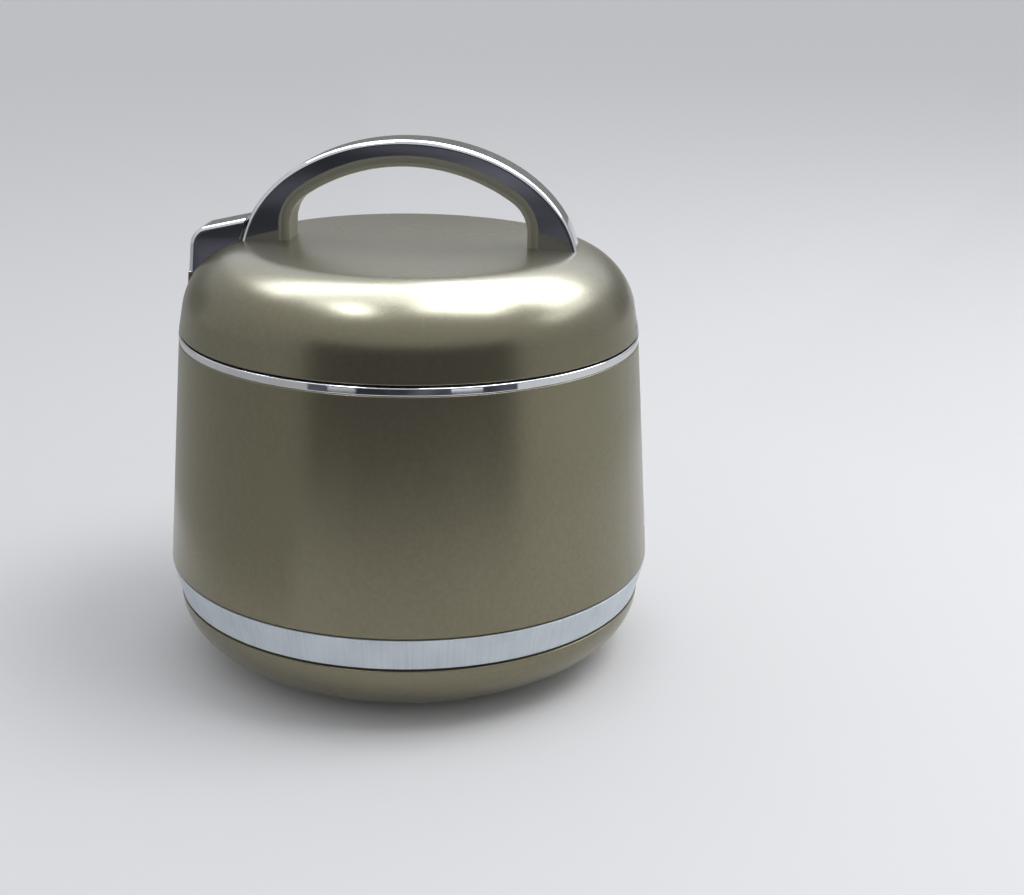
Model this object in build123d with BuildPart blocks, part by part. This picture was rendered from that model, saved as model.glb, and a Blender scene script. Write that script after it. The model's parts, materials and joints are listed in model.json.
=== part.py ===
from build123d import *
from math import cos, radians, sqrt, tan
import os

# Insulated casserole for flat bread: a double-walled pot with a hinged, latched lid that carries an
# arched handle. Millimetres, +Z up. The origin is the middle of the foot on the table, the handle
# and the hinge lie in the plane y = 0, the hinge is at -X and the latch at +X.

# Pot, from the table up. Every radius follows the bowl's mouth.
bowl_mouth_r = 95.0
rim_w = 21.5            # from the mouth to the body wall just under the rim ring
body_flare = 8.5        # the wall's widest radius, at the band's top, lies this much further out
pan_step = 4.0          # base pan's rim inside the widest radius
pan_top = 35.7
pan_curve_w = 60.0      # quarter ellipse under the pan's rim
pan_wall = 2.5
pan_rib_h = 2.5         # floor left above the foot's groove
pan_rib_w = 2.5
foot_h = 5.0            # rubber foot ring, of which foot_gap shows under the pan
foot_gap = 2.0
foot_w = 8.0
foot_margin = 0.3       # flat floor left outside the foot's rib
groove_low = 1.2        # shadow gaps under and over the band
groove_high = 0.9
band_h = 16.3           # silver trim band
band_t = 1.2
band_taper = 4.2        # the band narrows by this much from its top to its bottom
shell_wall = 2.2
ring_z = 168.0          # rim ring
ring_h = 4.0
ring_w = 4.0
ring_step = 0.1         # ring's edge inside the body wall
ring_spigot_t = 1.8
ring_spigot_h = 8.0
ring_edge_r = 0.7
fit = 0.1               # clearance between pieces that are pushed together
foam_fit = 0.2          # the foam stops this far from what encloses it

# Inner bowl and the collar that carries it
bowl_taper = 5.8        # the wall narrows by this much down to the flat bottom
bowl_depth = 130.0
bowl_wall = 0.8
bowl_corner_r = 18.0
bowl_flange_w = 5.5
collar_drop = 0.6       # collar top below the ring's top
collar_t = 2.5
collar_skirt_t = 2.2
collar_skirt_h = 14.4
collar_mouth_gap = 1.1  # collar hole over the bowl's mouth radius
boss_depth = 8.3        # bosses under the collar for the catch and the hinge bracket
boss_len = 12.6
catch_boss_half = 20.0
hinge_boss_half = 8.0

# Base snap fit and foam filling hole
spigot_t = 2.5
spigot_rise = 7.3       # above the pan's top
spigot_drop = 5.0
snap_rib_rise = 3.8     # rib inside the shell that the spigot's bead snaps over
snap_rib_h = 1.5
snap_rib_gap = 0.5
snap_bead_h = 1.7
snap_bead = 1.2
plug_r = 8.0
plug_head_r = 11.0
plug_head_t = 1.5
plug_shank_h = 3.5
plug_lip = 0.5

# Lid outside
lid_gap = 1.0           # dark seam between ring and lid
lid_step = 0.2          # lid's edge inside the ring's
lid_h = 43.2
lid_draft = 10.1        # degrees
crown_r = 1975.0
shoulder_r = 36.0
lid_wall = 2.5

# Lid inside
base_rise = 1.2         # underside of the lid's base plate above the seam
base_t = 2.0
base_inset = 0.9        # plate's edge inside the lid's wall
plug_gap = 2.0          # insulating plug in the bowl's mouth
plug_draft = 2.0        # the plug narrows by this much from the collar's top down
plug_depth = 10.2
plug_wall = 2.0
plug_flange_w = 8.0     # flange that carries the plate
plate_inset = 3.0       # stainless plate under the plug
plate_t = 0.8
plate_rim_w = 22.0
plate_dish_h = 1.5
gasket_inset = 2.25     # middle of the silicone ring inside the bowl flange's edge
gasket_w = 3.3
gasket_h = 3.2
gasket_edge_r = 1.3
gasket_squeeze_gap = 0.3
gasket_rib_w = 1.6
gasket_rib_rise = 0.8
lid_foam_gap = 1.5      # between the foam and the latch guide
lid_foam_drop = 13.2    # under the crown
lid_foam_edge = 4.0
lid_boss_r = 4.0        # screw bosses in the lid shell
lid_boss_inset = 8.8    # their middles inside the base plate's edge
lid_screw_count = 6
lid_screw_turn = 30.0   # degrees

# Handle
handle_half = 11.0      # half width across Y
handle_inset = 30.7     # ends of the outer ellipse inside the lid's edge
handle_b = 63.3         # height of the ellipse above its middle
handle_sink = 12.7      # middle of the ellipse under the crown
cover_skin = 2.2
cover_side = 2.6
cover_edge_r = 2.5
leg_cover_w = 20.5      # leg, from the ellipse's end to the chrome's inner edge
arch_rise = 43.1        # chrome's inner arc above the crown
arch_bow = 1.48         # radius of that arc over the half distance between the legs
corner_cover_r = 24.0
corner_grip_r = 18.0
grip_band = 6.0         # liner under the arc
grip_leg = 5.0          # liner along the legs
grip_inset = 0.5
grip_edge_r = 0.8
grip_lip = 1.5          # lip beside the chrome, then a groove on both faces
groove_w = 2.0
groove_t = 0.8
rib_fit = 0.15
handle_screw_inset = 14.0
handle_screw_y = 5.0
handle_pad_drop = 6.7   # flat pads under the lid's crown
handle_pad_x = 16.0
handle_pad_y = 20.0
backing_t = 1.5
backing_gap = 1.0       # pad edge round each backing plate

# Hinge
pivot_inset = 8.2       # pin inside the rim ring's hole
pivot_drop = 12.2       # pin under the crown
pin_r = 2.0
pin_chamfer = 0.4
run = 0.05              # running clearance on the pin
bush_r = 3.2
bush_flange_r = 4.5
bush_flange_t = 0.5
barrel_r = 6.3
arm_half = 6.0
cheek_half = 9.0
cheek_gap = 0.6         # between the arm and each cheek
cheek_r = 4.8
fork_bore_r = 7.0
fork_rise = 15.0        # top of the fork above the pivot
fork_reach = 16.4       # from the pivot to the fork's inner end
fork_screw_reach = 12.1
fork_screw_y = 4.6
fork_pad_drop = 11.2
opening_reach = 7.7     # lid opening past the pivot
block_wall = 1.6        # chrome hinge cover
block_edge_r = 2.5
block_corner_r = 11.0
block_gap = 1.2         # slanted gap to the handle
block_slope = 13.0      # degrees, the falling top
block_rise = 3.0        # top above the crown, at the back
block_back_inset = 6.4  # outer face inside the lid's edge, where it meets the line of the top
block_foot_inset = 4.5  # the same at the joint with the lid
block_foot_drop = 18.2  # that joint under the crown
block_slot_rise = 9.5
block_root = 13.0       # the cover's form goes on this far into the lid
relief_gap = 0.3        # between the swinging lid edge and the ring
foot_t = 3.0            # bracket foot on the collar
foot_reach = 2.8
foot_slot_gap = 0.5
arm_reach = 4.3         # inner face of the arm behind the pivot
arm_clear = 0.15
bracket_screw_reach = 0.4
bracket_screw_y = 3.1

# Latch
button_half = 14.1
button_rise = 1.0
button_h = 9.7
button_gap = 0.4
button_depth = 5.2      # from the lid's edge to the button's back
button_skin = 0.15
button_corner_r = 1.5
slider_gap = 0.2        # under the slider
slider_t = 3.2
slider_half = 9.0
slider_front_t = 2.5
slider_front_h = 9.1
block_len = 3.6         # slider's rear block, stopped by the guide's lips
slide_block_h = 5.6
slide_block_half = 11.8
slide_len = 12.1        # from that block's back to the hook
latch_travel = 3.2
hook_t = 2.2
hook_gap = 0.9          # between the hook and the catch's ledge
hook_drop = 6.4         # hook's end under the collar's top
toe = 2.7
toe_tip_h = 0.6
toe_gap = 0.3           # between the toe and the catch
slot_gap = 0.3          # free slot and pocket beyond the hook's travel
slot_end_gap = 0.5
pocket_gap = 0.7
pocket_depth = 3.0      # under the hook's end
guide_len = 23.0
guide_wall = 1.6
guide_end_t = 2.0
guide_gap = 0.3
guide_ear_y = 17.4
guide_ear_reach = 2.8
guide_post_h = 4.0
guide_post_r = 3.2
guide_ear_t = 2.0
spring_len = 13.2
spring_r = 2.2
spring_wire_r = 0.3
spring_turns = 5
peg_r = 1.6
peg_len = 2.5
catch_t = 1.5
catch_half = 17.0
catch_edge = 1.0        # catch plate's edge inside the collar's
ledge_w = 3.8
pocket_half = 10.5
catch_screw_reach = 3.9
catch_screw_y = 13.7

# Fasteners: shank radius of each size, with the head worked out from it
m3_r = 1.5
m4_r = 2.0
hole_fit = 0.02
head_ratio = 1.85
head_h_ratio = 1.1
head_edge_ratio = 0.5
screw_m3_len = 9.0      # length in the collar or the lid
fork_screw_len = 11.5
handle_screw_len = 18.5

# Radii that follow
body_top_r = bowl_mouth_r + rim_w
body_r = body_top_r + body_flare
pan_rim_r = body_r - pan_step
pan_flat_r = pan_rim_r - pan_curve_w + pan_curve_w * sqrt(1 - (1 - foot_gap / pan_top) ** 2)
foot_r = pan_flat_r - foot_margin - pan_rib_w - foot_w / 2
ring_r = body_top_r - ring_step
ring_hole_r = ring_r - ring_w
collar_r = ring_hole_r - 2 * fit
collar_hole_r = bowl_mouth_r + collar_mouth_gap
flange_r = bowl_mouth_r + bowl_flange_w
boss_in_x = collar_r - boss_len
bowl_low_r = bowl_mouth_r - bowl_taper
lid_edge_r = ring_r - lid_step
base_r = lid_edge_r - lid_wall - base_inset
lid_boss_ring_r = base_r - lid_boss_inset
plug_high_r = bowl_mouth_r - plug_gap
plug_low_r = plug_high_r - plug_draft
plate_r = plug_low_r - plate_inset
plug_flange_r = plate_r - plug_flange_w
plate_dish_r = plug_flange_r - plate_rim_w
gasket_r = flange_r - gasket_inset

# Heights that follow
ring_top = ring_z + ring_h
lid_z = ring_top + lid_gap
lid_top = lid_z + lid_h
collar_top = ring_top - collar_drop
skirt_low = collar_top - collar_skirt_h
bowl_seat_z = collar_top - bowl_wall
bowl_floor_z = collar_top - bowl_depth
boss_low = bowl_seat_z - collar_t - boss_depth
band_low = pan_top + groove_low
band_top = band_low + band_h
widest_z = band_top + groove_high
spigot_top = pan_top + spigot_rise
pan_rib_top = foot_h + pan_rib_h
base_z = lid_z + base_rise
base_top = base_z + base_t
plug_z = collar_top - plug_depth
gasket_rib_z = collar_top + gasket_rib_rise

# The handle, above the lid
handle_a = lid_edge_r - handle_inset
handle_z = lid_top - handle_sink
leg_cover_x = handle_a - leg_cover_w
leg_grip_x = leg_cover_x - grip_leg
arch_cover_r = arch_bow * leg_cover_x
arch_grip_r = arch_cover_r - grip_band
arch_z = lid_top + arch_rise - arch_cover_r
grip_half = handle_half - grip_inset
handle_pad_z = lid_top - handle_pad_drop
handle_screw_x = handle_a - handle_screw_inset
handle_screw_places = [(x, y, handle_pad_z) for x in (-handle_screw_x, handle_screw_x)
                       for y in (-handle_screw_y, handle_screw_y)]

# The hinge, on the -X side
pivot_x = pivot_inset - ring_hole_r
pivot_z = lid_top - pivot_drop
slot_half = arm_half + cheek_gap
block_half = handle_half
opening_x = pivot_x + opening_reach
fork_end_x = pivot_x + fork_reach
fork_pad_z = lid_top - fork_pad_drop
fork_top = pivot_z + fork_rise
fork_screw_places = [(pivot_x + fork_screw_reach, y, fork_pad_z) for y in (-fork_screw_y, fork_screw_y)]
block_back_x = block_back_inset - lid_edge_r
block_foot_x = block_foot_inset - lid_edge_r
block_back_z = lid_top + block_rise
block_foot_z = lid_top - block_foot_drop
block_root_z = block_foot_z - block_root
hinge_relief_r = pivot_z - ring_top - relief_gap
foot_top = collar_top + foot_t
foot_end_x = pivot_x + foot_reach
arm_inner_x = pivot_x - arm_reach
arm_foot_x = block_foot_x + arm_clear
bracket_screw_places = [(pivot_x - bracket_screw_reach, y) for y in (-bracket_screw_y, bracket_screw_y)]

# The latch, on the +X side
ledge_x = collar_r - ledge_w
catch_edge_r = collar_r - catch_edge
hook_x = ledge_x - hook_gap - hook_t
pocket_x = hook_x - latch_travel - pocket_gap
pocket_end_x = hook_x + hook_t + toe + pocket_gap
latch_slot_x = hook_x - latch_travel - slot_gap
latch_slot_end = hook_x + hook_t + slot_end_gap
catch_x = pocket_x + fit
catch_screw_places = [(catch_x + catch_screw_reach, y, collar_top) for y in (-catch_screw_y, catch_screw_y)]
hook_low_z = collar_top - hook_drop
toe_top_z = collar_top - catch_t - toe_gap
pocket_z = hook_low_z - pocket_depth
button_back_x = lid_edge_r - button_depth
slider_z = base_top + slider_gap
slider_top = slider_z + slider_t
slider_front_top = slider_z + slider_front_h
button_z = slider_z + button_rise
slide_block_x = hook_x - slide_len
slide_block_top = slider_z + slide_block_h
spring_z = slider_z + slide_block_h / 2
guide_x = slide_block_x - spring_len - guide_end_t
guide_end_x = guide_x + guide_len
guide_side_y = slide_block_half + guide_gap
guide_ceiling = slide_block_top + guide_gap
guide_top = guide_ceiling + guide_wall
guide_ear_x = slide_block_x + guide_ear_reach
guide_post_top = base_top + guide_post_h
guide_ear_places = [(guide_ear_x, -guide_ear_y), (guide_ear_x, guide_ear_y)]
lid_foam_r = guide_x - lid_foam_gap
lid_foam_low_r = plug_low_r - plug_wall - foam_fit
lid_foam_top = lid_top - lid_foam_drop

down = (Align.CENTER, Align.CENTER, Align.MAX)
up = (Align.CENTER, Align.CENTER, Align.MIN)


def shell_r(z):
    # Outside radius of the body wall at the height z
    return body_r + (z - widest_z) * (body_top_r - body_r) / (ring_z - widest_z)


def band_r(z):
    # Outside radius of the trim band, and of the line that it continues, at the height z
    return body_r - band_taper * (band_top - z) / band_h


def seat_r(z):
    # Outside radius of the rebate that the band lies in
    return band_r(z) - band_t - fit


def plug_r_at(z):
    # Outside radius of the lid's plug at the height z
    return plug_low_r + (plug_high_r - plug_low_r) * (z - plug_z) / (collar_top - plug_z)


spigot_r = seat_r(pan_top) - shell_wall - 2 * fit


def pan_section(inset):
    # Half section of the base pan's outside form, drawn inset inside it
    with BuildSketch() as section:
        with Locations((pan_rim_r - pan_curve_w, pan_top)):
            Ellipse(pan_curve_w - inset, pan_top - inset)
        with Locations((0, inset)):
            Rectangle(pan_rim_r - pan_curve_w, pan_top - inset, align=Align.MIN)
        with Locations((0, foot_gap + inset)):
            Rectangle(pan_rim_r, pan_top - foot_gap - inset, align=Align.MIN, mode=Mode.INTERSECT)
    return section.sketch


def lid_section(inset, bottom=lid_z):
    # Half section of the lid's outside form, drawn inset inside it, from the height bottom up
    draft = tan(radians(lid_draft))
    low_r = lid_edge_r - inset / cos(radians(lid_draft)) - (bottom - lid_z) * draft
    high_r = low_r - (lid_top + inset - bottom) * draft
    with BuildSketch() as section:
        high_z = lid_top + inset
        Polygon((0, bottom), (low_r, bottom), (high_r, high_z), (0, high_z), align=None)
        with Locations((0, lid_top - crown_r)):
            Circle(crown_r - inset, mode=Mode.INTERSECT)
        fillet(section.vertices().sort_by(Axis.X)[-2], shoulder_r - inset)
    return section.sketch


def bowl_section(grow):
    # Half section of the space inside the bowl, grown outwards
    low_r = bowl_low_r + grow
    high_r = bowl_mouth_r + grow
    with BuildSketch() as section:
        floor_z = bowl_floor_z - grow
        Polygon((0, floor_z), (low_r, floor_z), (high_r, collar_top), (0, collar_top), align=None)
        fillet(section.vertices().sort_by(Axis.Y)[:2].sort_by(Axis.X)[-1], bowl_corner_r + grow)
    return section.sketch


def arch_section(radius, leg_x, corner_r, bottom):
    # The space under an arc between two legs
    with BuildSketch() as section:
        with Locations((0, bottom)):
            Rectangle(2 * leg_x, arch_z + radius - bottom, align=(Align.CENTER, Align.MIN))
        with Locations((0, arch_z)):
            Circle(radius, mode=Mode.INTERSECT)
        fillet(section.vertices().group_by(Axis.Y)[-1], corner_r)
    return section.sketch


def handle_section(inset, bottom):
    # The handle's outer ellipse, drawn inset inside it, above the height bottom
    with BuildSketch() as section:
        with Locations((0, handle_z)):
            Ellipse(handle_a - inset, handle_b - inset)
        with Locations((0, bottom)):
            Rectangle(2 * handle_a, 2 * handle_b, align=(Align.CENTER, Align.MIN), mode=Mode.INTERSECT)
    return section.sketch


def block_section(inset):
    # Profile of the hinge cover, reaching down into the lid, drawn inset inside it
    lean = (block_back_x - block_foot_x) / (block_back_z - block_foot_z)
    root_x = block_foot_x - block_root * lean
    front_z = block_back_z + (-leg_cover_x - block_back_x) * tan(radians(block_slope))
    with BuildSketch() as section:
        Polygon((-leg_cover_x, front_z), (block_back_x, block_back_z), (root_x, block_root_z),
                (-leg_cover_x, block_root_z), align=None)
        fillet(section.vertices().group_by(Axis.Y)[-2], block_corner_r)
        if inset:
            offset(amount=-inset)
        with Locations((0, handle_z)):
            Ellipse(handle_a + block_gap + inset, handle_b + block_gap + inset, mode=Mode.SUBTRACT)
    return section.sketch


def pan_screw(shank_r, length):
    # Pan-head screw, head up, with the underside of its head at the origin
    with BuildPart() as screw:
        Cylinder(shank_r * head_ratio, shank_r * head_h_ratio, align=up)
        fillet(screw.edges().group_by(Axis.Z)[-1], shank_r * head_edge_ratio)
        Cylinder(shank_r, length, align=down)
    return screw.part


def flat_screw(shank_r, length):
    # Countersunk screw, head up, with the top of its head at the origin
    head_r = shank_r * head_ratio
    with BuildPart() as screw:
        Cone(shank_r, head_r, head_r - shank_r, align=down)
        Cylinder(shank_r, length, align=down)
    return screw.part


def placed_box(low, high, mode=Mode.ADD):
    # Box between two corners
    with Locations(low):
        Box(high[0] - low[0], high[1] - low[1], high[2] - low[2], align=Align.MIN, mode=mode)


# ---------------------------------------------------------------- reference forms

with BuildPart() as lid_form:
    with BuildSketch(Plane.XZ):
        add(lid_section(0))
    revolve(axis=Axis.Z)

with BuildPart() as lid_front:
    add(lid_form.part)
    split(bisect_by=Plane.YZ.offset(opening_x), keep=Keep.TOP)

with BuildPart() as hinge_seat:
    with BuildSketch(Plane.XZ):
        add(block_section(0))
    extrude(amount=block_half, both=True)
    split(bisect_by=Plane.XY.offset(block_foot_z), keep=Keep.BOTTOM)

with BuildPart() as skirt_form:
    with BuildSketch(Plane.XZ):
        add(lid_section(arm_clear, collar_top))
    revolve(axis=Axis.Z)
    with Locations((arm_clear, 0, 0)):
        add(hinge_seat.part)

with BuildPart() as button_form:
    with BuildSketch(Plane.XZ):
        add(lid_section(button_skin))
    revolve(axis=Axis.Z)

with BuildPart() as edge_relief:
    placed_box((-body_r, -hinge_relief_r, ring_z), (pivot_x, hinge_relief_r, base_top))
    with Locations((pivot_x, 0, pivot_z)):
        Cylinder(hinge_relief_r, 4 * hinge_relief_r, rotation=(90, 0, 0), mode=Mode.SUBTRACT)

with BuildPart() as lid_lugs:
    with PolarLocations(lid_boss_ring_r, lid_screw_count, start_angle=lid_screw_turn):
        with Locations((0, 0, base_top)):
            Cylinder(lid_boss_r, lid_top - base_top, align=up)
    for side in (-1, 1):
        with Locations((side * handle_screw_x, 0, handle_pad_z)):
            Box(handle_pad_x, handle_pad_y, lid_top - handle_pad_z, align=up)
    placed_box((opening_x, -cheek_half, fork_pad_z), (fork_end_x, cheek_half, lid_top))
    with BuildSketch(Plane.XZ):
        add(lid_section(lid_wall / 2))
    revolve(axis=Axis.Z, mode=Mode.INTERSECT)

# ---------------------------------------------------------------- pot

with BuildPart() as foot_ring:
    with BuildSketch(Plane.XZ) as outline:
        with Locations((foot_r, 0)):
            Rectangle(foot_w, foot_h, align=(Align.CENTER, Align.MIN))
        fillet(outline.vertices().group_by(Axis.Y)[0], foot_gap)
    revolve(axis=Axis.Z)

with BuildPart() as base_pan:
    with BuildSketch(Plane.XZ):
        add(pan_section(0))
        add(pan_section(pan_wall), mode=Mode.SUBTRACT)
        with Locations((foot_r, foot_gap)):
            Rectangle(foot_w + 2 * pan_rib_w, pan_rib_top - foot_gap, align=(Align.CENTER, Align.MIN))
            Rectangle(foot_w + 2 * fit, foot_h - foot_gap, align=(Align.CENTER, Align.MIN),
                      mode=Mode.SUBTRACT)
        with Locations((spigot_r - spigot_t, pan_top - pan_wall)):
            Rectangle(pan_rim_r - pan_wall / 2 - spigot_r + spigot_t, pan_wall, align=Align.MIN)
        with Locations((spigot_r - spigot_t, pan_top - spigot_drop)):
            Rectangle(spigot_t, spigot_top - pan_top + spigot_drop, align=Align.MIN)
        bead_z = spigot_top - snap_bead_h
        Polygon((spigot_r - snap_bead, bead_z), (spigot_r + snap_bead, bead_z),
                (spigot_r - snap_bead, spigot_top), align=None)
    revolve(axis=Axis.Z)
    Cylinder(plug_r + fit, pan_top, mode=Mode.SUBTRACT)

with BuildPart() as filling_plug:
    with BuildSketch(Plane.XZ):
        plug_top = foot_gap + plug_shank_h
        lip_z = foot_gap + pan_wall + fit
        Polygon((0, foot_gap - plug_head_t), (plug_head_r, foot_gap - plug_head_t), (plug_head_r, foot_gap),
                (plug_r, foot_gap), (plug_r, lip_z), (plug_r + plug_lip, lip_z), (plug_r, plug_top),
                (0, plug_top), align=None)
    revolve(axis=Axis.Z)

with BuildPart() as outer_shell:
    with BuildSketch(Plane.XZ):
        bend_z = widest_z + band_t + shell_wall
        Polygon((shell_r(ring_z), ring_z), (body_r, widest_z), (seat_r(widest_z), widest_z),
                (seat_r(pan_top), pan_top), (seat_r(pan_top) - shell_wall, pan_top),
                (seat_r(widest_z) - shell_wall, widest_z), (shell_r(bend_z) - shell_wall, bend_z),
                (shell_r(ring_z) - shell_wall, ring_z), align=None)
        rib_r = spigot_r + snap_rib_gap
        snap_rib_z = pan_top + snap_rib_rise
        with Locations((rib_r, snap_rib_z)):
            Rectangle(seat_r(snap_rib_z) - shell_wall / 2 - rib_r, snap_rib_h, align=Align.MIN)
    revolve(axis=Axis.Z)

with BuildPart() as trim_band:
    with BuildSketch(Plane.XZ):
        Polygon((band_r(band_top), band_top), (band_r(band_low), band_low),
                (band_r(band_low) - band_t, band_low), (band_r(band_top) - band_t, band_top), align=None)
    revolve(axis=Axis.Z)

with BuildPart() as rim_ring:
    with BuildSketch(Plane.XZ) as outline:
        with Locations((ring_hole_r, ring_z)):
            Rectangle(ring_w, ring_h, align=Align.MIN)
        with Locations((ring_hole_r, ring_z - ring_spigot_h)):
            Rectangle(ring_spigot_t, ring_spigot_h, align=Align.MIN)
        fillet(outline.vertices().group_by(Axis.X)[-1], ring_edge_r)
    revolve(axis=Axis.Z)

with BuildPart() as rim_collar:
    with BuildSketch(Plane.XZ):
        with Locations((collar_hole_r, bowl_seat_z - collar_t)):
            Rectangle(collar_r - collar_hole_r, collar_top - bowl_seat_z + collar_t, align=Align.MIN)
        with Locations((collar_r - collar_skirt_t, skirt_low)):
            Rectangle(collar_skirt_t, collar_skirt_h, align=Align.MIN)
        with Locations((collar_hole_r, bowl_seat_z)):
            Rectangle(flange_r + fit - collar_hole_r, bowl_wall, align=Align.MIN, mode=Mode.SUBTRACT)
    revolve(axis=Axis.Z)
    # bosses under the flange, for the catch and for the hinge bracket
    with BuildSketch(Plane.XY.offset(boss_low)):
        with Locations((boss_in_x, 0)):
            Rectangle(collar_r, 2 * catch_boss_half, align=(Align.MIN, Align.CENTER))
        with Locations((-boss_in_x, 0)):
            Rectangle(collar_r, 2 * hinge_boss_half, align=(Align.MAX, Align.CENTER))
        Circle(collar_r - fit, mode=Mode.INTERSECT)
    extrude(amount=boss_depth + collar_t / 2)
    placed_box((pocket_x, -pocket_half, pocket_z), (pocket_end_x, pocket_half, ring_top), Mode.SUBTRACT)
    with BuildSketch(Plane.XY.offset(collar_top - catch_t)):
        with Locations((catch_x - fit, 0)):
            Rectangle(collar_r, 2 * (catch_half + fit), align=(Align.MIN, Align.CENTER))
        Circle(catch_edge_r + fit, mode=Mode.INTERSECT)
    extrude(amount=catch_t, mode=Mode.SUBTRACT)
    with Locations(*catch_screw_places, *[(x, y, collar_top) for x, y in bracket_screw_places]):
        Cylinder(m3_r + hole_fit, screw_m3_len + hole_fit, align=down, mode=Mode.SUBTRACT)

with BuildPart() as inner_bowl:
    with BuildSketch(Plane.XZ):
        add(bowl_section(bowl_wall))
        with Locations((bowl_mouth_r, bowl_seat_z)):
            Rectangle(bowl_flange_w, bowl_wall, align=Align.MIN)
        add(bowl_section(0), mode=Mode.SUBTRACT)
    revolve(axis=Axis.Z)

with BuildPart() as foam_fill:
    with BuildSketch(Plane.XZ):
        wall = shell_wall + foam_fit
        neck_r = spigot_r - spigot_t - foam_fit
        neck_z = spigot_top + foam_fit
        flange_low = bowl_seat_z - collar_t - foam_fit
        add(pan_section(pan_wall + foam_fit))
        with Locations((neck_r, pan_top)):
            Rectangle(pan_rim_r - neck_r, spigot_drop + foam_fit, align=(Align.MIN, Align.MAX),
                      mode=Mode.SUBTRACT)
        Polygon((0, pan_top - spigot_drop), (neck_r, pan_top - spigot_drop), (neck_r, neck_z),
                (seat_r(neck_z) - wall, neck_z), (seat_r(widest_z) - wall, widest_z),
                (shell_r(bend_z) - wall, bend_z), (shell_r(skirt_low) - wall, skirt_low - foam_fit),
                (collar_r - collar_skirt_t - foam_fit, skirt_low - foam_fit),
                (collar_r - collar_skirt_t - foam_fit, flange_low), (0, flange_low), align=None)
        with Locations((foot_r, 0)):
            Rectangle(foot_w + 2 * pan_rib_w + 2 * foam_fit, pan_rib_top + foam_fit,
                      align=(Align.CENTER, Align.MIN), mode=Mode.SUBTRACT)
        Rectangle(2 * (plug_r + 2 * plug_lip), 2 * (plug_top + foam_fit), mode=Mode.SUBTRACT)
        add(bowl_section(bowl_wall + foam_fit), mode=Mode.SUBTRACT)
    revolve(axis=Axis.Z)
    boss_edge_x = boss_in_x - foam_fit
    boss_edge_z = boss_low - foam_fit
    for half, edge_x in ((catch_boss_half, boss_edge_x), (hinge_boss_half, -body_r)):
        placed_box((edge_x, -half - foam_fit, boss_edge_z),
                   (edge_x + body_r - boss_edge_x, half + foam_fit, ring_top), Mode.SUBTRACT)

with BuildPart() as catch_plate:
    with BuildSketch(Plane.XY.offset(collar_top - catch_t)):
        with Locations((catch_x, 0)):
            Rectangle(collar_r, 2 * catch_half, align=(Align.MIN, Align.CENTER))
            Rectangle(ledge_x - catch_x, 2 * pocket_half, align=(Align.MIN, Align.CENTER),
                      mode=Mode.SUBTRACT)
        Circle(catch_edge_r, mode=Mode.INTERSECT)
    extrude(amount=catch_t)
    with Locations(*catch_screw_places):
        CounterSinkHole(m3_r + hole_fit, m3_r * head_ratio + hole_fit, counter_sink_angle=90)

with BuildPart() as catch_screws:
    with Locations(*catch_screw_places):
        add(flat_screw(m3_r, screw_m3_len))

# ---------------------------------------------------------------- hinge

with BuildPart() as hinge_bracket:
    with BuildSketch(Plane.XZ):
        Polygon((-collar_r + fit, collar_top), (foot_end_x, collar_top), (foot_end_x, foot_top),
                (arm_inner_x, foot_top), (arm_inner_x, block_foot_z), (-body_top_r, block_foot_z),
                (-body_top_r, ring_top + arm_clear), (-collar_r + fit, ring_top + arm_clear), align=None)
    extrude(amount=arm_half, both=True)
    # the outer face follows the lid's skirt and the raised seat beside it
    add(skirt_form.part, mode=Mode.INTERSECT)
    # barrel round the pin, carried by the arm
    with BuildSketch(Plane.XZ):
        with Locations((pivot_x, pivot_z)):
            Circle(barrel_r)
        with Locations((arm_foot_x, block_foot_z)):
            Rectangle(arm_inner_x - arm_foot_x, barrel_r, align=(Align.MIN, Align.MAX))
        make_hull()
    extrude(amount=arm_half, both=True)
    with BuildSketch(Plane.XZ):
        with Locations((pivot_x, pivot_z)):
            Circle(bush_r + hole_fit)
    extrude(amount=arm_half, both=True, mode=Mode.SUBTRACT)
    with Locations(*[(x, y, foot_top) for x, y in bracket_screw_places]):
        Cylinder(m3_r + hole_fit, foot_t, align=down, mode=Mode.SUBTRACT)

with BuildPart() as bracket_screws:
    with Locations(*[(x, y, foot_top) for x, y in bracket_screw_places]):
        add(pan_screw(m3_r, foot_t + screw_m3_len))

with BuildPart() as hinge_bushes:
    with BuildSketch(Plane.XZ.offset(fit)):
        with Locations((pivot_x, pivot_z)):
            Circle(bush_r)
            Circle(pin_r + run, mode=Mode.SUBTRACT)
    extrude(amount=arm_half - fit)
    with BuildSketch(Plane.XZ.offset(arm_half)):
        with Locations((pivot_x, pivot_z)):
            Circle(bush_flange_r)
            Circle(pin_r + run, mode=Mode.SUBTRACT)
    extrude(amount=bush_flange_t)
    mirror(about=Plane.XZ)

with BuildPart() as hinge_pin:
    with BuildSketch(Plane.XZ):
        with Locations((pivot_x, pivot_z)):
            Circle(pin_r)
    extrude(amount=cheek_half, both=True)
    chamfer(hinge_pin.edges().filter_by(GeomType.CIRCLE), pin_chamfer)

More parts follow.
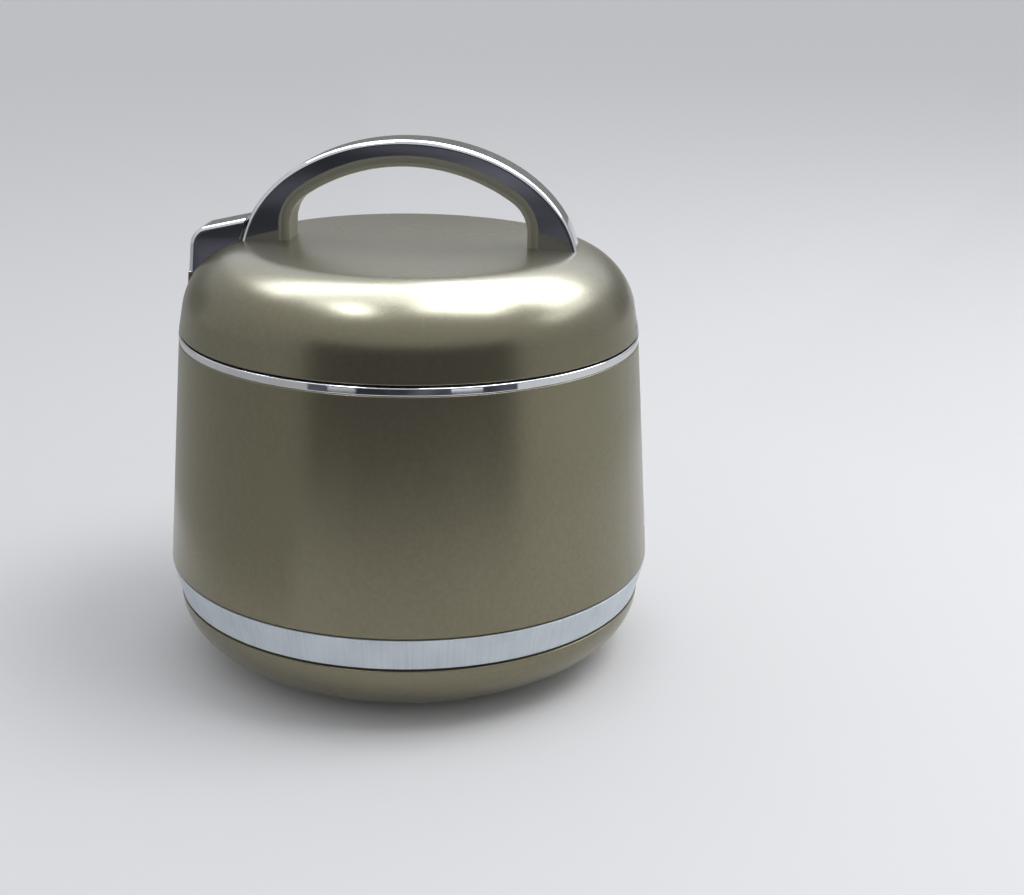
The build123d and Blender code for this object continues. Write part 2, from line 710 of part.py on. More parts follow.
with BuildPart() as hinge_fork:
    # cheeks from the pin to the seat
    with BuildSketch(Plane.XZ):
        with Locations((pivot_x, pivot_z)):
            Circle(cheek_r)
        with Locations((fork_end_x, fork_top)):
            Rectangle(fork_end_x - opening_x, fork_top - fork_pad_z, align=Align.MAX)
        make_hull()
    extrude(amount=cheek_half, both=True)
    # room for the arm between the cheeks
    with BuildSketch(Plane.XZ):
        with Locations((pivot_x, pivot_z)):
            Circle(fork_bore_r)
            Rectangle(fork_reach, 2 * fork_reach, align=(Align.MAX, Align.CENTER))
            Rectangle(opening_reach, fork_reach, align=(Align.MIN, Align.MAX))
    extrude(amount=slot_half, both=True, mode=Mode.SUBTRACT)
    # the seat lies on the lid
    add(lid_front.part, mode=Mode.SUBTRACT)
    with BuildSketch(Plane.XZ):
        with Locations((pivot_x, pivot_z)):
            Circle(pin_r + hole_fit)
    extrude(amount=cheek_half, both=True, mode=Mode.SUBTRACT)
    with Locations(*fork_screw_places):
        Cylinder(m4_r + hole_fit, fork_screw_len + hole_fit, align=up, mode=Mode.SUBTRACT)

with BuildPart() as fork_screws:
    with Locations(*[Location(place, (180, 0, 0)) for place in fork_screw_places]):
        add(pan_screw(m4_r, fork_screw_len))

with BuildPart() as hinge_cover:
    with BuildSketch(Plane.XZ):
        add(block_section(0))
    extrude(amount=block_half, both=True)
    sides = hinge_cover.edges().group_by(Axis.Y)
    outer = [edge for edge in sides[0] + sides[-1] if edge.geom_type != GeomType.ELLIPSE]
    fillet([edge for edge in outer if edge.center().Z > block_root_z + fit], block_edge_r)
    with BuildSketch(Plane.XZ):
        add(block_section(block_wall))
    extrude(amount=block_half - block_wall, both=True, mode=Mode.SUBTRACT)
    add(lid_form.part, mode=Mode.SUBTRACT)
    split(bisect_by=Plane.XY.offset(block_foot_z), keep=Keep.TOP)
    # slot that the bracket's arm stands in
    placed_box((-body_r, -slot_half, block_root_z), (pivot_x, slot_half, pivot_z + block_slot_rise),
               Mode.SUBTRACT)

# ---------------------------------------------------------------- lid

with BuildPart() as lid_shell:
    with BuildSketch(Plane.XZ):
        add(lid_section(0))
    revolve(axis=Axis.Z)
    add(hinge_seat.part)
    with BuildSketch(Plane.XZ):
        add(lid_section(lid_wall))
    revolve(axis=Axis.Z, mode=Mode.SUBTRACT)
    add(lid_lugs.part)
    # slot for the bracket's arm, opening for the fork, and the edge's relief about the pin
    placed_box((-body_r, -slot_half, ring_z), (pivot_x, slot_half, block_foot_z), Mode.SUBTRACT)
    opening_half = block_half - block_wall - fit
    placed_box((-body_r, -opening_half, block_foot_z), (opening_x, opening_half, lid_top), Mode.SUBTRACT)
    add(edge_relief.part, mode=Mode.SUBTRACT)
    # window of the push button
    with BuildSketch(Plane.YZ.offset(ledge_x)):
        with Locations((0, button_z + button_h / 2)):
            RectangleRounded(2 * (button_half + button_gap), button_h + 2 * button_gap,
                             button_corner_r + button_gap)
    extrude(amount=body_r - ledge_x, mode=Mode.SUBTRACT)
    with PolarLocations(lid_boss_ring_r, lid_screw_count, start_angle=lid_screw_turn):
        with Locations((0, 0, base_top)):
            Cylinder(m3_r + hole_fit, screw_m3_len, align=up, mode=Mode.SUBTRACT)
    with Locations(*handle_screw_places, *fork_screw_places):
        Cylinder(m4_r + hole_fit, fork_screw_len, align=up, mode=Mode.SUBTRACT)

with BuildPart() as lid_base:
    flange_top = plug_z + plate_t + plug_wall
    gasket_z = collar_top + gasket_squeeze_gap
    with BuildSketch(Plane.XZ):
        wall_r = plug_r_at(base_z) - plug_wall
        with Locations((wall_r, base_z)):
            Rectangle(base_r - wall_r, base_t, align=Align.MIN)
        Polygon((plug_r_at(plug_z), plug_z), (plug_r_at(base_z), base_z), (wall_r, base_z),
                (plug_r_at(flange_top) - plug_wall, flange_top), (plug_flange_r, flange_top),
                (plug_flange_r, plug_z + plate_t), (plate_r + fit, plug_z + plate_t),
                (plate_r + fit, plug_z), align=None)
        with Locations((gasket_r, gasket_rib_z)):
            groove = gasket_w + 2 * fit
            Rectangle(groove + 2 * gasket_rib_w, base_z - gasket_rib_z, align=(Align.CENTER, Align.MIN))
            Rectangle(groove, gasket_z + gasket_h - gasket_rib_z, align=(Align.CENTER, Align.MIN),
                      mode=Mode.SUBTRACT)
    revolve(axis=Axis.Z)
    placed_box((-body_r, -slot_half, ring_z), (foot_end_x + foot_slot_gap, slot_half, base_top),
               Mode.SUBTRACT)
    placed_box((latch_slot_x, -slider_half - button_gap, ring_z),
               (latch_slot_end, slider_half + button_gap, base_top), Mode.SUBTRACT)
    with Locations(*[(x, y, guide_post_top) for x, y in guide_ear_places]):
        Cylinder(guide_post_r, guide_post_h, align=down)
        Cylinder(m3_r + hole_fit, guide_post_h + base_t / 2, align=down, mode=Mode.SUBTRACT)
    with Locations(Location((0, 0, base_z), (180, 0, 0))):
        with PolarLocations(lid_boss_ring_r, lid_screw_count, start_angle=lid_screw_turn):
            CounterSinkHole(m3_r + hole_fit, m3_r * head_ratio + hole_fit, counter_sink_angle=90)

with BuildPart() as lid_plate:
    dish_z = plug_z + plate_dish_h
    with BuildSketch(Plane.XZ):
        step_r = plate_dish_r + plate_dish_h
        Polygon((0, dish_z), (plate_dish_r, dish_z), (step_r, plug_z), (plate_r, plug_z),
                (plate_r, plug_z + plate_t), (step_r, plug_z + plate_t),
                (plate_dish_r, dish_z + plate_t), (0, dish_z + plate_t), align=None)
    revolve(axis=Axis.Z)

with BuildPart() as lid_gasket:
    with BuildSketch(Plane.XZ) as outline:
        with Locations((gasket_r, gasket_z)):
            Rectangle(gasket_w, gasket_h, align=(Align.CENTER, Align.MIN))
        fillet(outline.vertices().group_by(Axis.Y)[0], gasket_edge_r)
    revolve(axis=Axis.Z)

with BuildPart() as lid_foam:
    foam_low = dish_z + plate_t + foam_fit
    foam_rest = flange_top + foam_fit
    foam_step = base_top - foam_fit
    neck_r = plug_flange_r - foam_fit
    with BuildSketch(Plane.XZ):
        Polygon((0, foam_low), (neck_r, foam_low), (neck_r, foam_rest), (lid_foam_low_r, foam_rest),
                (lid_foam_low_r, foam_step), (lid_foam_r, foam_step),
                (lid_foam_r, lid_foam_top - lid_foam_edge), (lid_foam_r - lid_foam_edge, lid_foam_top),
                (0, lid_foam_top), align=None)
    revolve(axis=Axis.Z)

with BuildPart() as lid_screws:
    with Locations(Location((0, 0, base_z), (180, 0, 0))):
        with PolarLocations(lid_boss_ring_r, lid_screw_count, start_angle=lid_screw_turn):
            add(flat_screw(m3_r, screw_m3_len))

# ---------------------------------------------------------------- handle

with BuildPart() as handle_cover:
    with BuildSketch(Plane.XZ):
        add(handle_section(0, fork_pad_z))
        add(arch_section(arch_cover_r, leg_cover_x, corner_cover_r, fork_pad_z), mode=Mode.SUBTRACT)
    extrude(amount=handle_half, both=True)
    fillet(handle_cover.edges().filter_by(GeomType.ELLIPSE), cover_edge_r)
    with BuildSketch(Plane.XZ):
        add(handle_section(cover_skin, fork_pad_z))
    extrude(amount=handle_half - cover_side, both=True, mode=Mode.SUBTRACT)
    add(lid_form.part, mode=Mode.SUBTRACT)

with BuildPart() as handle_grip:
    with BuildSketch(Plane.XZ):
        add(arch_section(arch_cover_r, leg_cover_x, corner_cover_r, fork_pad_z))
        add(arch_section(arch_grip_r, leg_grip_x, corner_grip_r, fork_pad_z), mode=Mode.SUBTRACT)
    extrude(amount=grip_half, both=True)
    ends = handle_grip.edges().group_by(Axis.Y)
    fillet(ends[0] + ends[-1], grip_edge_r)
    # groove along both faces
    groove_in = grip_lip + groove_w
    with BuildSketch(Plane.XZ.offset(grip_half - groove_t), Plane.XZ.offset(-grip_half)):
        add(arch_section(arch_cover_r - grip_lip, leg_cover_x - grip_lip, corner_cover_r - grip_lip,
                         fork_pad_z))
        add(arch_section(arch_cover_r - groove_in, leg_cover_x - groove_in, corner_cover_r - groove_in,
                         fork_pad_z), mode=Mode.SUBTRACT)
    extrude(amount=groove_t, mode=Mode.SUBTRACT)
    with BuildSketch(Plane.XZ):
        add(handle_section(cover_skin + rib_fit, fork_pad_z))
        add(arch_section(arch_grip_r, leg_grip_x, corner_grip_r, fork_pad_z), mode=Mode.SUBTRACT)
    extrude(amount=handle_half - cover_side - rib_fit, both=True)
    add(lid_form.part, mode=Mode.SUBTRACT)
    with Locations(*handle_screw_places):
        Cylinder(m4_r + hole_fit, handle_screw_len, align=up, mode=Mode.SUBTRACT)

with BuildPart() as handle_backing_plates:
    for side in (-1, 1):
        with Locations((side * handle_screw_x, 0, handle_pad_z)):
            Box(handle_pad_x - 2 * backing_gap, handle_pad_y - 2 * backing_gap, backing_t, align=down)
    with Locations(*handle_screw_places):
        Cylinder(m4_r + fit, backing_t, align=down, mode=Mode.SUBTRACT)

with BuildPart() as handle_screws:
    with Locations(*[Location((x, y, z - backing_t), (180, 0, 0)) for x, y, z in handle_screw_places]):
        add(pan_screw(m4_r, handle_screw_len + backing_t))

# ---------------------------------------------------------------- latch

with BuildPart() as latch_slider:
    with BuildSketch(Plane.XZ):
        hook_end_x = hook_x + hook_t
        tip_x = hook_end_x + toe
        front_x = button_back_x - slider_front_t
        Polygon((slide_block_x, slider_z), (hook_x, slider_z), (hook_x, hook_low_z), (hook_end_x, hook_low_z),
                (tip_x, toe_top_z - toe_tip_h), (tip_x, toe_top_z), (hook_end_x, toe_top_z),
                (hook_end_x, slider_z), (button_back_x, slider_z), (button_back_x, slider_front_top),
                (front_x, slider_front_top), (front_x, slider_top), (slide_block_x, slider_top), align=None)
    extrude(amount=slider_half, both=True)
    placed_box((slide_block_x, -slide_block_half, slider_z),
               (slide_block_x + block_len, slide_block_half, slide_block_top))
    with Locations((slide_block_x, 0, spring_z)):
        Cylinder(peg_r, peg_len, rotation=(0, -90, 0), align=up)

with BuildPart() as latch_button:
    with BuildSketch(Plane.YZ.offset(button_back_x)):
        with Locations((0, button_z + button_h / 2)):
            RectangleRounded(2 * button_half, button_h, button_corner_r)
    extrude(amount=body_r - button_back_x)
    add(button_form.part, mode=Mode.INTERSECT)

with BuildPart() as latch_guide:
    outer_y = guide_side_y + guide_wall
    placed_box((guide_x, -outer_y, base_top), (guide_end_x, outer_y, guide_top))
    with BuildSketch(Plane.XY.offset(guide_post_top)):
        with Locations((guide_ear_x, 0)):
            SlotCenterToCenter(2 * guide_ear_y, 2 * guide_post_r, rotation=90)
    extrude(amount=guide_ear_t)
    placed_box((guide_x + guide_end_t, -guide_side_y, base_top),
               (slide_block_x + block_len + fit, guide_side_y, guide_ceiling), Mode.SUBTRACT)
    placed_box((slide_block_x, -slider_half - guide_gap, base_top),
               (guide_end_x, slider_half + guide_gap, slider_top + guide_gap), Mode.SUBTRACT)
    with Locations((guide_x + guide_end_t, 0, spring_z)):
        Cylinder(peg_r, peg_len, rotation=(0, 90, 0), align=up)
    with Locations(*[(x, y, guide_post_top) for x, y in guide_ear_places]):
        Cylinder(m3_r + fit, guide_ear_t, align=up, mode=Mode.SUBTRACT)

with BuildPart() as guide_screws:
    with Locations(*[(x, y, guide_post_top + guide_ear_t) for x, y in guide_ear_places]):
        add(pan_screw(m3_r, guide_ear_t + guide_post_h))

with BuildPart() as latch_spring:
    coil_len = spring_len - 2 * spring_wire_r
    with BuildLine():
        coil = Helix(coil_len / spring_turns, coil_len, spring_r,
                     center=(guide_x + guide_end_t + spring_wire_r, 0, spring_z), direction=(1, 0, 0))
    with BuildSketch(Plane(origin=coil @ 0, z_dir=coil % 0)):
        Circle(spring_wire_r)
    sweep(path=coil, is_frenet=True)

# ---------------------------------------------------------------- files

pieces = {
    "foot_ring": foot_ring, "base_pan": base_pan, "filling_plug": filling_plug,
    "outer_shell": outer_shell, "trim_band": trim_band, "rim_ring": rim_ring,
    "rim_collar": rim_collar, "inner_bowl": inner_bowl, "foam_fill": foam_fill,
    "catch_plate": catch_plate, "catch_screws": catch_screws,
    "hinge_bracket": hinge_bracket, "bracket_screws": bracket_screws, "hinge_bushes": hinge_bushes,
    "hinge_pin": hinge_pin, "hinge_fork": hinge_fork, "fork_screws": fork_screws,
    "hinge_cover": hinge_cover, "lid_shell": lid_shell, "lid_base": lid_base, "lid_plate": lid_plate,
    "lid_gasket": lid_gasket, "lid_foam": lid_foam, "lid_screws": lid_screws,
    "handle_cover": handle_cover, "handle_grip": handle_grip,
    "handle_backing_plates": handle_backing_plates, "handle_screws": handle_screws,
    "latch_slider": latch_slider, "latch_button": latch_button, "latch_guide": latch_guide,
    "guide_screws": guide_screws, "latch_spring": latch_spring,
}
os.makedirs("parts", exist_ok=True)
for name, piece in pieces.items():
    piece.part.label = name
    export_step(piece.part, f"parts/{name}.step")
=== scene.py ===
import json
import math
import bmesh
import bpy
from mathutils import Matrix, Vector


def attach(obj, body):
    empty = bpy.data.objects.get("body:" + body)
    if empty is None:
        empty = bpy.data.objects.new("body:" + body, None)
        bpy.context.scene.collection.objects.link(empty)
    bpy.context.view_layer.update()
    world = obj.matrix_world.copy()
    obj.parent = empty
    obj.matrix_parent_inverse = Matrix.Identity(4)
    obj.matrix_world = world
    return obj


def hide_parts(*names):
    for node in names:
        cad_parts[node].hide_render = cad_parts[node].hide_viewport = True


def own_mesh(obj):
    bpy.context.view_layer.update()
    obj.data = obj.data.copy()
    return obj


# Looks of an insulated casserole: sizes in millimetres as on the drawing, meshes in metres.
# The hinge is at -X, the latch at +X, and the handle stands in the plane y = 0.

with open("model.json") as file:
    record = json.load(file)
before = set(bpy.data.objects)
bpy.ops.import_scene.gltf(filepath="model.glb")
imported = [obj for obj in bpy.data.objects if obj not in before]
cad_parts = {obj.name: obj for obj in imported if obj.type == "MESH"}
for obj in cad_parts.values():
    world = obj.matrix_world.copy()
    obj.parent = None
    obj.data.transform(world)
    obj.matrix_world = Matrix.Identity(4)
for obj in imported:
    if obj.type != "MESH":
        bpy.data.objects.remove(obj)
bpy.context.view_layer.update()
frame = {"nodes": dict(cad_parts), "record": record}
nodes = frame["nodes"]
mm = 0.001
touching = 1e-6  # metres: points nearer than this are one
edgeSteps = 6  # faces across a rounded edge
print("frame loaded:", len(nodes), "nodes")


# Lines and outlines, in millimetres

def arc(centre, radius, start, end, step):
    # points on an arc between two angles in degrees, about a step apart
    count = max(2, math.ceil(abs(end - start) / step))
    angles = [math.radians(start + (end - start) * k / count) for k in range(count + 1)]
    return [(centre[0] + radius * math.cos(a), centre[1] + radius * math.sin(a)) for a in angles]


def rounded(corners, step=5.0):
    # closed outline whose corners may carry a radius as a third value
    line = []
    for k, corner in enumerate(corners):
        here = Vector(corner[:2])
        if len(corner) == 2:
            line.append(tuple(here))
            continue
        radius = corner[2]
        back = (Vector(corners[k - 1][:2]) - here).normalized()
        ahead = (Vector(corners[(k + 1) % len(corners)][:2]) - here).normalized()
        half = back.angle(ahead) / 2
        centre = here + (back + ahead).normalized() * radius / math.sin(half)
        start = here + back * radius / math.tan(half) - centre
        turn = math.pi - 2 * half
        if back.x * ahead.y - back.y * ahead.x > 0:
            turn = -turn
        count = max(3, math.ceil(math.degrees(abs(turn)) / step))
        for n in range(count + 1):
            a = turn * n / count
            line.append((centre.x + start.x * math.cos(a) - start.y * math.sin(a),
                         centre.y + start.x * math.sin(a) + start.y * math.cos(a)))
    return line


# Making meshes

def linked(name, data):
    piece = bpy.data.objects.new(name, data)
    bpy.context.scene.collection.objects.link(piece)
    return piece


def cleaned(piece, outward=True):
    # joins doubles and turns the faces outwards
    shape = bmesh.new()
    shape.from_mesh(piece.data)
    bmesh.ops.remove_doubles(shape, verts=shape.verts, dist=touching)
    if outward:
        bmesh.ops.recalc_face_normals(shape, faces=shape.faces)
    shape.to_mesh(piece.data)
    shape.free()
    return piece


def applied(piece):
    # the evaluated mesh takes the place of the modifiers
    depsgraph = bpy.context.evaluated_depsgraph_get()
    mesh = bpy.data.meshes.new_from_object(piece.evaluated_get(depsgraph))
    name = piece.name
    old = piece.data
    bpy.data.objects.remove(piece)
    mesh.name = name
    if hasattr(old, "splines"):
        bpy.data.curves.remove(old)
    else:
        bpy.data.meshes.remove(old)
    return linked(name, mesh)


def setInput(modifier, name, value):
    # a modifier's input goes by its socket's identifier
    for item in modifier.node_group.interface.items_tree:
        if item.item_type == "SOCKET" and item.in_out == "INPUT" and item.name == name:
            modifier[item.identifier] = value
            return
    raise KeyError(name)


def geometryTree(name, inputs):
    # an empty node tree with one geometry going in and out, and named inputs
    tree = bpy.data.node_groups.new(name, "GeometryNodeTree")
    tree.interface.new_socket("Geometry", in_out="INPUT", socket_type="NodeSocketGeometry")
    for label, kind in inputs:
        tree.interface.new_socket(label, in_out="INPUT", socket_type=kind)
    tree.interface.new_socket("Geometry", in_out="OUTPUT", socket_type="NodeSocketGeometry")
    return tree, tree.nodes.new("NodeGroupInput"), tree.nodes.new("NodeGroupOutput")


def addNode(tree, kind, values=None, **settings):
    node = tree.nodes.new(kind)
    for key, value in settings.items():
        setattr(node, key, value)
    for key, value in (values or {}).items():
        node.inputs[key].default_value = value
    return node


def turningTree():
    # turns a half section, a flat curve with x as radius and y as height, round the Z axis
    # it follows a hair-thin circle, so it is moved in by that circle's radius first
    core = 0.0001
    tree, given, result = geometryTree("turning", [("Steps", "NodeSocketInt"),
                                                   ("Finish", "NodeSocketMaterial")])
    path = addNode(tree, "GeometryNodeCurvePrimitiveCircle", {"Radius": core}, mode="RADIUS")
    shift = addNode(tree, "GeometryNodeTransform", {"Translation": (-core, 0, 0)})
    mirror = addNode(tree, "GeometryNodeTransform", {"Scale": (1, -1, 1)})
    skin = addNode(tree, "GeometryNodeCurveToMesh")
    weld = addNode(tree, "GeometryNodeMergeByDistance", {"Distance": touching})
    real = addNode(tree, "GeometryNodeRealizeInstances")
    finish = addNode(tree, "GeometryNodeSetMaterial")
    link = tree.links.new
    link(given.outputs["Steps"], path.inputs["Resolution"])
    link(given.outputs["Geometry"], shift.inputs["Geometry"])
    link(shift.outputs["Geometry"], mirror.inputs["Geometry"])
    link(path.outputs["Curve"], skin.inputs["Curve"])
    link(mirror.outputs["Geometry"], skin.inputs["Profile Curve"])
    link(skin.outputs["Mesh"], weld.inputs["Geometry"])
    link(weld.outputs["Geometry"], real.inputs["Geometry"])
    link(real.outputs["Geometry"], finish.inputs["Geometry"])
    link(given.outputs["Finish"], finish.inputs["Material"])
    link(finish.outputs["Geometry"], result.inputs["Geometry"])
    return tree


turning = turningTree()


def turned(name, section, material, steps=256):
    # a piece of revolution from its half section, a closed outline of (radius, height)
    line = bpy.data.curves.new(name, "CURVE")
    spline = line.splines.new("POLY")
    spline.points.add(len(section) - 1)
    for point, (r, z) in zip(spline.points, section):
        point.co = (r * mm, z * mm, 0, 1)
    spline.use_cyclic_u = True
    piece = linked(name, line)
    modifier = piece.modifiers.new("turning", "NODES")
    modifier.node_group = turning
    setInput(modifier, "Steps", steps)
    setInput(modifier, "Finish", material)
    return cleaned(applied(piece))


def plate(name, outline, half, edge=0.0, isEdge=None, middle=0.0):
    # an outline in the plane y = 0, thickened to both sides; the chosen rim edges are rounded
    shape = bmesh.new()
    front = [shape.verts.new((x * mm, (middle - half) * mm, z * mm)) for x, z in outline]
    back = [shape.verts.new((x * mm, (middle + half) * mm, z * mm)) for x, z in outline]
    count = len(outline)
    shape.faces.new(front)
    shape.faces.new(back)
    for k in range(count):
        shape.faces.new((front[k], front[(k + 1) % count], back[(k + 1) % count], back[k]))
    bmesh.ops.recalc_face_normals(shape, faces=shape.faces)
    if edge:
        rims = [e for e in shape.edges if abs(e.verts[0].co.y - e.verts[1].co.y) < touching
                and (isEdge is None or all(isEdge(v.co.x / mm, v.co.z / mm) for v in e.verts))]
        bmesh.ops.bevel(shape, geom=rims, offset=edge * mm, segments=edgeSteps, profile=0.5,
                        affect="EDGES", clamp_overlap=False)
    mesh = bpy.data.meshes.new(name)
    shape.to_mesh(mesh)
    shape.free()
    return linked(name, mesh)


def slab(name, left, right, low, high, half):
    return plate(name, [(left, low), (right, low), (right, high), (left, high)], half)


def combined(piece, others, operation):
    # joins pieces or cuts them away, and deletes the helpers
    for other in others:
        modifier = piece.modifiers.new(operation.lower(), "BOOLEAN")
        modifier.operation = operation
        modifier.solver = "EXACT"
        modifier.object = other
    done = applied(piece)
    for other in others:
        bpy.data.objects.remove(other)
    return done


def copyOf(name, node):
    # a welded copy of a CAD node's loose triangles
    return cleaned(linked(name, nodes[node].data.copy()), outward=False)


def dress(piece, body, finish, node, crease=35):
    # smooth faces with crisp creases, the finish, the body that carries it and the node that it stands for
    mesh = piece.data
    mesh.materials.clear()
    mesh.materials.append(finishes[finish])
    mesh.polygons.foreach_set("use_smooth", [True] * len(mesh.polygons))
    mesh.set_sharp_from_angle(angle=math.radians(crease))
    weighted = piece.modifiers.new("weighted", "WEIGHTED_NORMAL")
    weighted.keep_sharp = True
    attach(piece, body)
    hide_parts(node)
    return piece


# Finishes

looks = {
    "champagne_shell": {"colour": (0.235, 0.217, 0.146), "second": (0.208, 0.190, 0.126), "metallic": 0.85,
                        "rough": (0.26, 0.30), "grain": 420, "mottle": 9, "bump": 0.003, "coat": 0.22},
    "chrome_plate": {"colour": (0.80, 0.81, 0.84), "second": (0.74, 0.75, 0.78), "metallic": 1.0,
                     "rough": (0.03, 0.07), "grain": 60, "mottle": 25, "bump": 0.006, "coat": 0.0},
    "brushed_trim": {"colour": (0.62, 0.67, 0.71), "second": (0.52, 0.57, 0.61), "metallic": 0.35,
                     "rough": (0.38, 0.5), "grain": 700, "mottle": 60, "bump": 0.05, "coat": 0.0,
                     "streak": (0.12, 0.0, 0.03)},
    "stainless": {"colour": (0.66, 0.66, 0.67), "second": (0.61, 0.61, 0.62), "metallic": 1.0,
                  "rough": (0.24, 0.30), "grain": 420, "mottle": 12, "bump": 0.012, "coat": 0.0,
                  "streak": (0.0012, 1.0, 1.0)},
    "ivory_moulding": {"colour": (0.60, 0.58, 0.53), "second": (0.56, 0.54, 0.49), "metallic": 0.0,
                       "rough": (0.42, 0.55), "grain": 1200, "mottle": 20, "bump": 0.06, "coat": 0.0},
    "grey_moulding": {"colour": (0.20, 0.20, 0.20), "second": (0.17, 0.17, 0.17), "metallic": 0.0,
                      "rough": (0.4, 0.55), "grain": 1200, "mottle": 30, "bump": 0.06, "coat": 0.0},
    "grip_moulding": {"colour": (0.34, 0.33, 0.26), "second": (0.30, 0.29, 0.225), "metallic": 0.4,
                      "rough": (0.28, 0.36), "grain": 2200, "mottle": 20, "bump": 0.03, "coat": 0.2},
    "foam": {"colour": (0.82, 0.76, 0.56), "second": (0.74, 0.66, 0.45), "metallic": 0.0,
             "rough": (0.8, 0.95), "grain": 1500, "mottle": 80, "bump": 0.5, "coat": 0.0},
    "silicone": {"colour": (0.70, 0.70, 0.69), "second": (0.64, 0.64, 0.63), "metallic": 0.0,
                 "rough": (0.35, 0.5), "grain": 800, "mottle": 40, "bump": 0.04, "coat": 0.0},
    "foot_rubber": {"colour": (0.045, 0.045, 0.045), "second": (0.06, 0.06, 0.058), "metallic": 0.0,
                    "rough": (0.6, 0.8), "grain": 900, "mottle": 50, "bump": 0.12, "coat": 0.0},
    "screw_steel": {"colour": (0.55, 0.55, 0.54), "second": (0.45, 0.45, 0.43), "metallic": 1.0,
                    "rough": (0.25, 0.4), "grain": 1200, "mottle": 150, "bump": 0.05, "coat": 0.0},
    "cast_zinc": {"colour": (0.50, 0.50, 0.51), "second": (0.42, 0.42, 0.43), "metallic": 0.9,
                  "rough": (0.4, 0.55), "grain": 1500, "mottle": 90, "bump": 0.12, "coat": 0.0},
}


# what all finishes share: the noises' detail, the spans that they are stretched from, and the relief's depth
surface = {"coatRough": 0.2, "grainDetail": 2.0, "mottleDetail": 3.0, "toneSpan": (0.12, 0.4),
           "glossSpan": (0.3, 0.7), "relief": 0.0003}


def makeFinish(name, look):
    # two mixed tones, a varying gloss and a fine relief, all in object coordinates
    material = bpy.data.materials.new(name)
    material.use_nodes = True
    tree = material.node_tree
    link = tree.links.new
    shader = tree.nodes["Principled BSDF"]
    shader.inputs["Metallic"].default_value = look["metallic"]
    shader.inputs["Coat Weight"].default_value = look["coat"]
    shader.inputs["Coat Roughness"].default_value = surface["coatRough"]
    place = addNode(tree, "ShaderNodeTexCoord").outputs["Object"]
    fine = place
    if "streak" in look:
        # angle, radius and height, each stretched by its own factor, so that the grain runs one way
        parts = addNode(tree, "ShaderNodeSeparateXYZ")
        flat = addNode(tree, "ShaderNodeVectorMath", {1: (1, 1, 0)}, operation="MULTIPLY")
        angle = addNode(tree, "ShaderNodeMath", operation="ARCTAN2")
        radius = addNode(tree, "ShaderNodeVectorMath", operation="LENGTH")
        polar = addNode(tree, "ShaderNodeCombineXYZ")
        stretch = addNode(tree, "ShaderNodeVectorMath", {1: look["streak"]}, operation="MULTIPLY")
        link(place, parts.inputs["Vector"])
        link(place, flat.inputs[0])
        link(flat.outputs["Vector"], radius.inputs[0])
        link(parts.outputs["Y"], angle.inputs[0])
        link(parts.outputs["X"], angle.inputs[1])
        link(angle.outputs[0], polar.inputs["X"])
        link(radius.outputs["Value"], polar.inputs["Y"])
        link(parts.outputs["Z"], polar.inputs["Z"])
        link(polar.outputs["Vector"], stretch.inputs[0])
        fine = stretch.outputs["Vector"]
    grain = addNode(tree, "ShaderNodeTexNoise", {"Scale": look["grain"], "Detail": surface["grainDetail"]})
    mottle = addNode(tree, "ShaderNodeTexNoise", {"Scale": look["mottle"],
                                                   "Detail": surface["mottleDetail"]})
    link(fine, grain.inputs["Vector"])
    link(place, mottle.inputs["Vector"])
    both = addNode(tree, "ShaderNodeMath", operation="MULTIPLY")
    link(grain.outputs["Fac"], both.inputs[0])
    link(mottle.outputs["Fac"], both.inputs[1])
    low, high = surface["toneSpan"]
    spread = addNode(tree, "ShaderNodeMapRange", {"From Min": low, "From Max": high})
    link(both.outputs[0], spread.inputs["Value"])
    tone = addNode(tree, "ShaderNodeMix", data_type="RGBA")
    tone.inputs["A"].default_value = (*look["colour"], 1)
    tone.inputs["B"].default_value = (*look["second"], 1)
    link(spread.outputs["Result"], tone.inputs["Factor"])
    link(tone.outputs["Result"], shader.inputs["Base Color"])
    low, high = surface["glossSpan"]
    gloss = addNode(tree, "ShaderNodeMapRange", {"From Min": low, "From Max": high,
                                                 "To Min": look["rough"][0], "To Max": look["rough"][1]})
    link(mottle.outputs["Fac"], gloss.inputs["Value"])
    link(gloss.outputs["Result"], shader.inputs["Roughness"])
    relief = addNode(tree, "ShaderNodeBump", {"Strength": look["bump"], "Distance": surface["relief"]})
    link(grain.outputs["Fac"], relief.inputs["Height"])
    link(relief.outputs["Normal"], shader.inputs["Normal"])
    return material


finishes = {name: makeFinish(name, look) for name, look in looks.items()}
print("finishes made:", len(finishes))


# The pot

pot = {"widest": 125.0, "widestZ": 54.1, "topR": 116.5, "topZ": 168.0, "wall": 2.2, "edge": 0.5,
       "bendIn": 0.3, "bendRise": 3.4, "steps": 320}
band = {"low": 36.9, "top": 53.2, "taper": 4.2, "thick": 1.2, "edge": 0.35, "fit": 0.1}


def bandRadius(z):
    return pot["widest"] - band["taper"] * (band["top"] - z) / (band["top"] - band["low"])


def potShell():
    # a leaning wall that steps in behind the band
    wall, seat = pot["wall"], band["thick"] + band["fit"]
    high, low = bandRadius(pot["widestZ"]) - seat, bandRadius(pan["top"]) - seat
    return turned("potShell", rounded([
        (pot["topR"], pot["topZ"], pot["edge"]), (pot["widest"], pot["widestZ"], pot["edge"]),
        (high, pot["widestZ"]), (low, pan["top"]), (low - wall, pan["top"]), (high - wall, pot["widestZ"]),
        (pot["widest"] - wall - pot["bendIn"], pot["widestZ"] + pot["bendRise"]),
        (pot["topR"] - wall, pot["topZ"])]), finishes["champagne_shell"], pot["steps"])


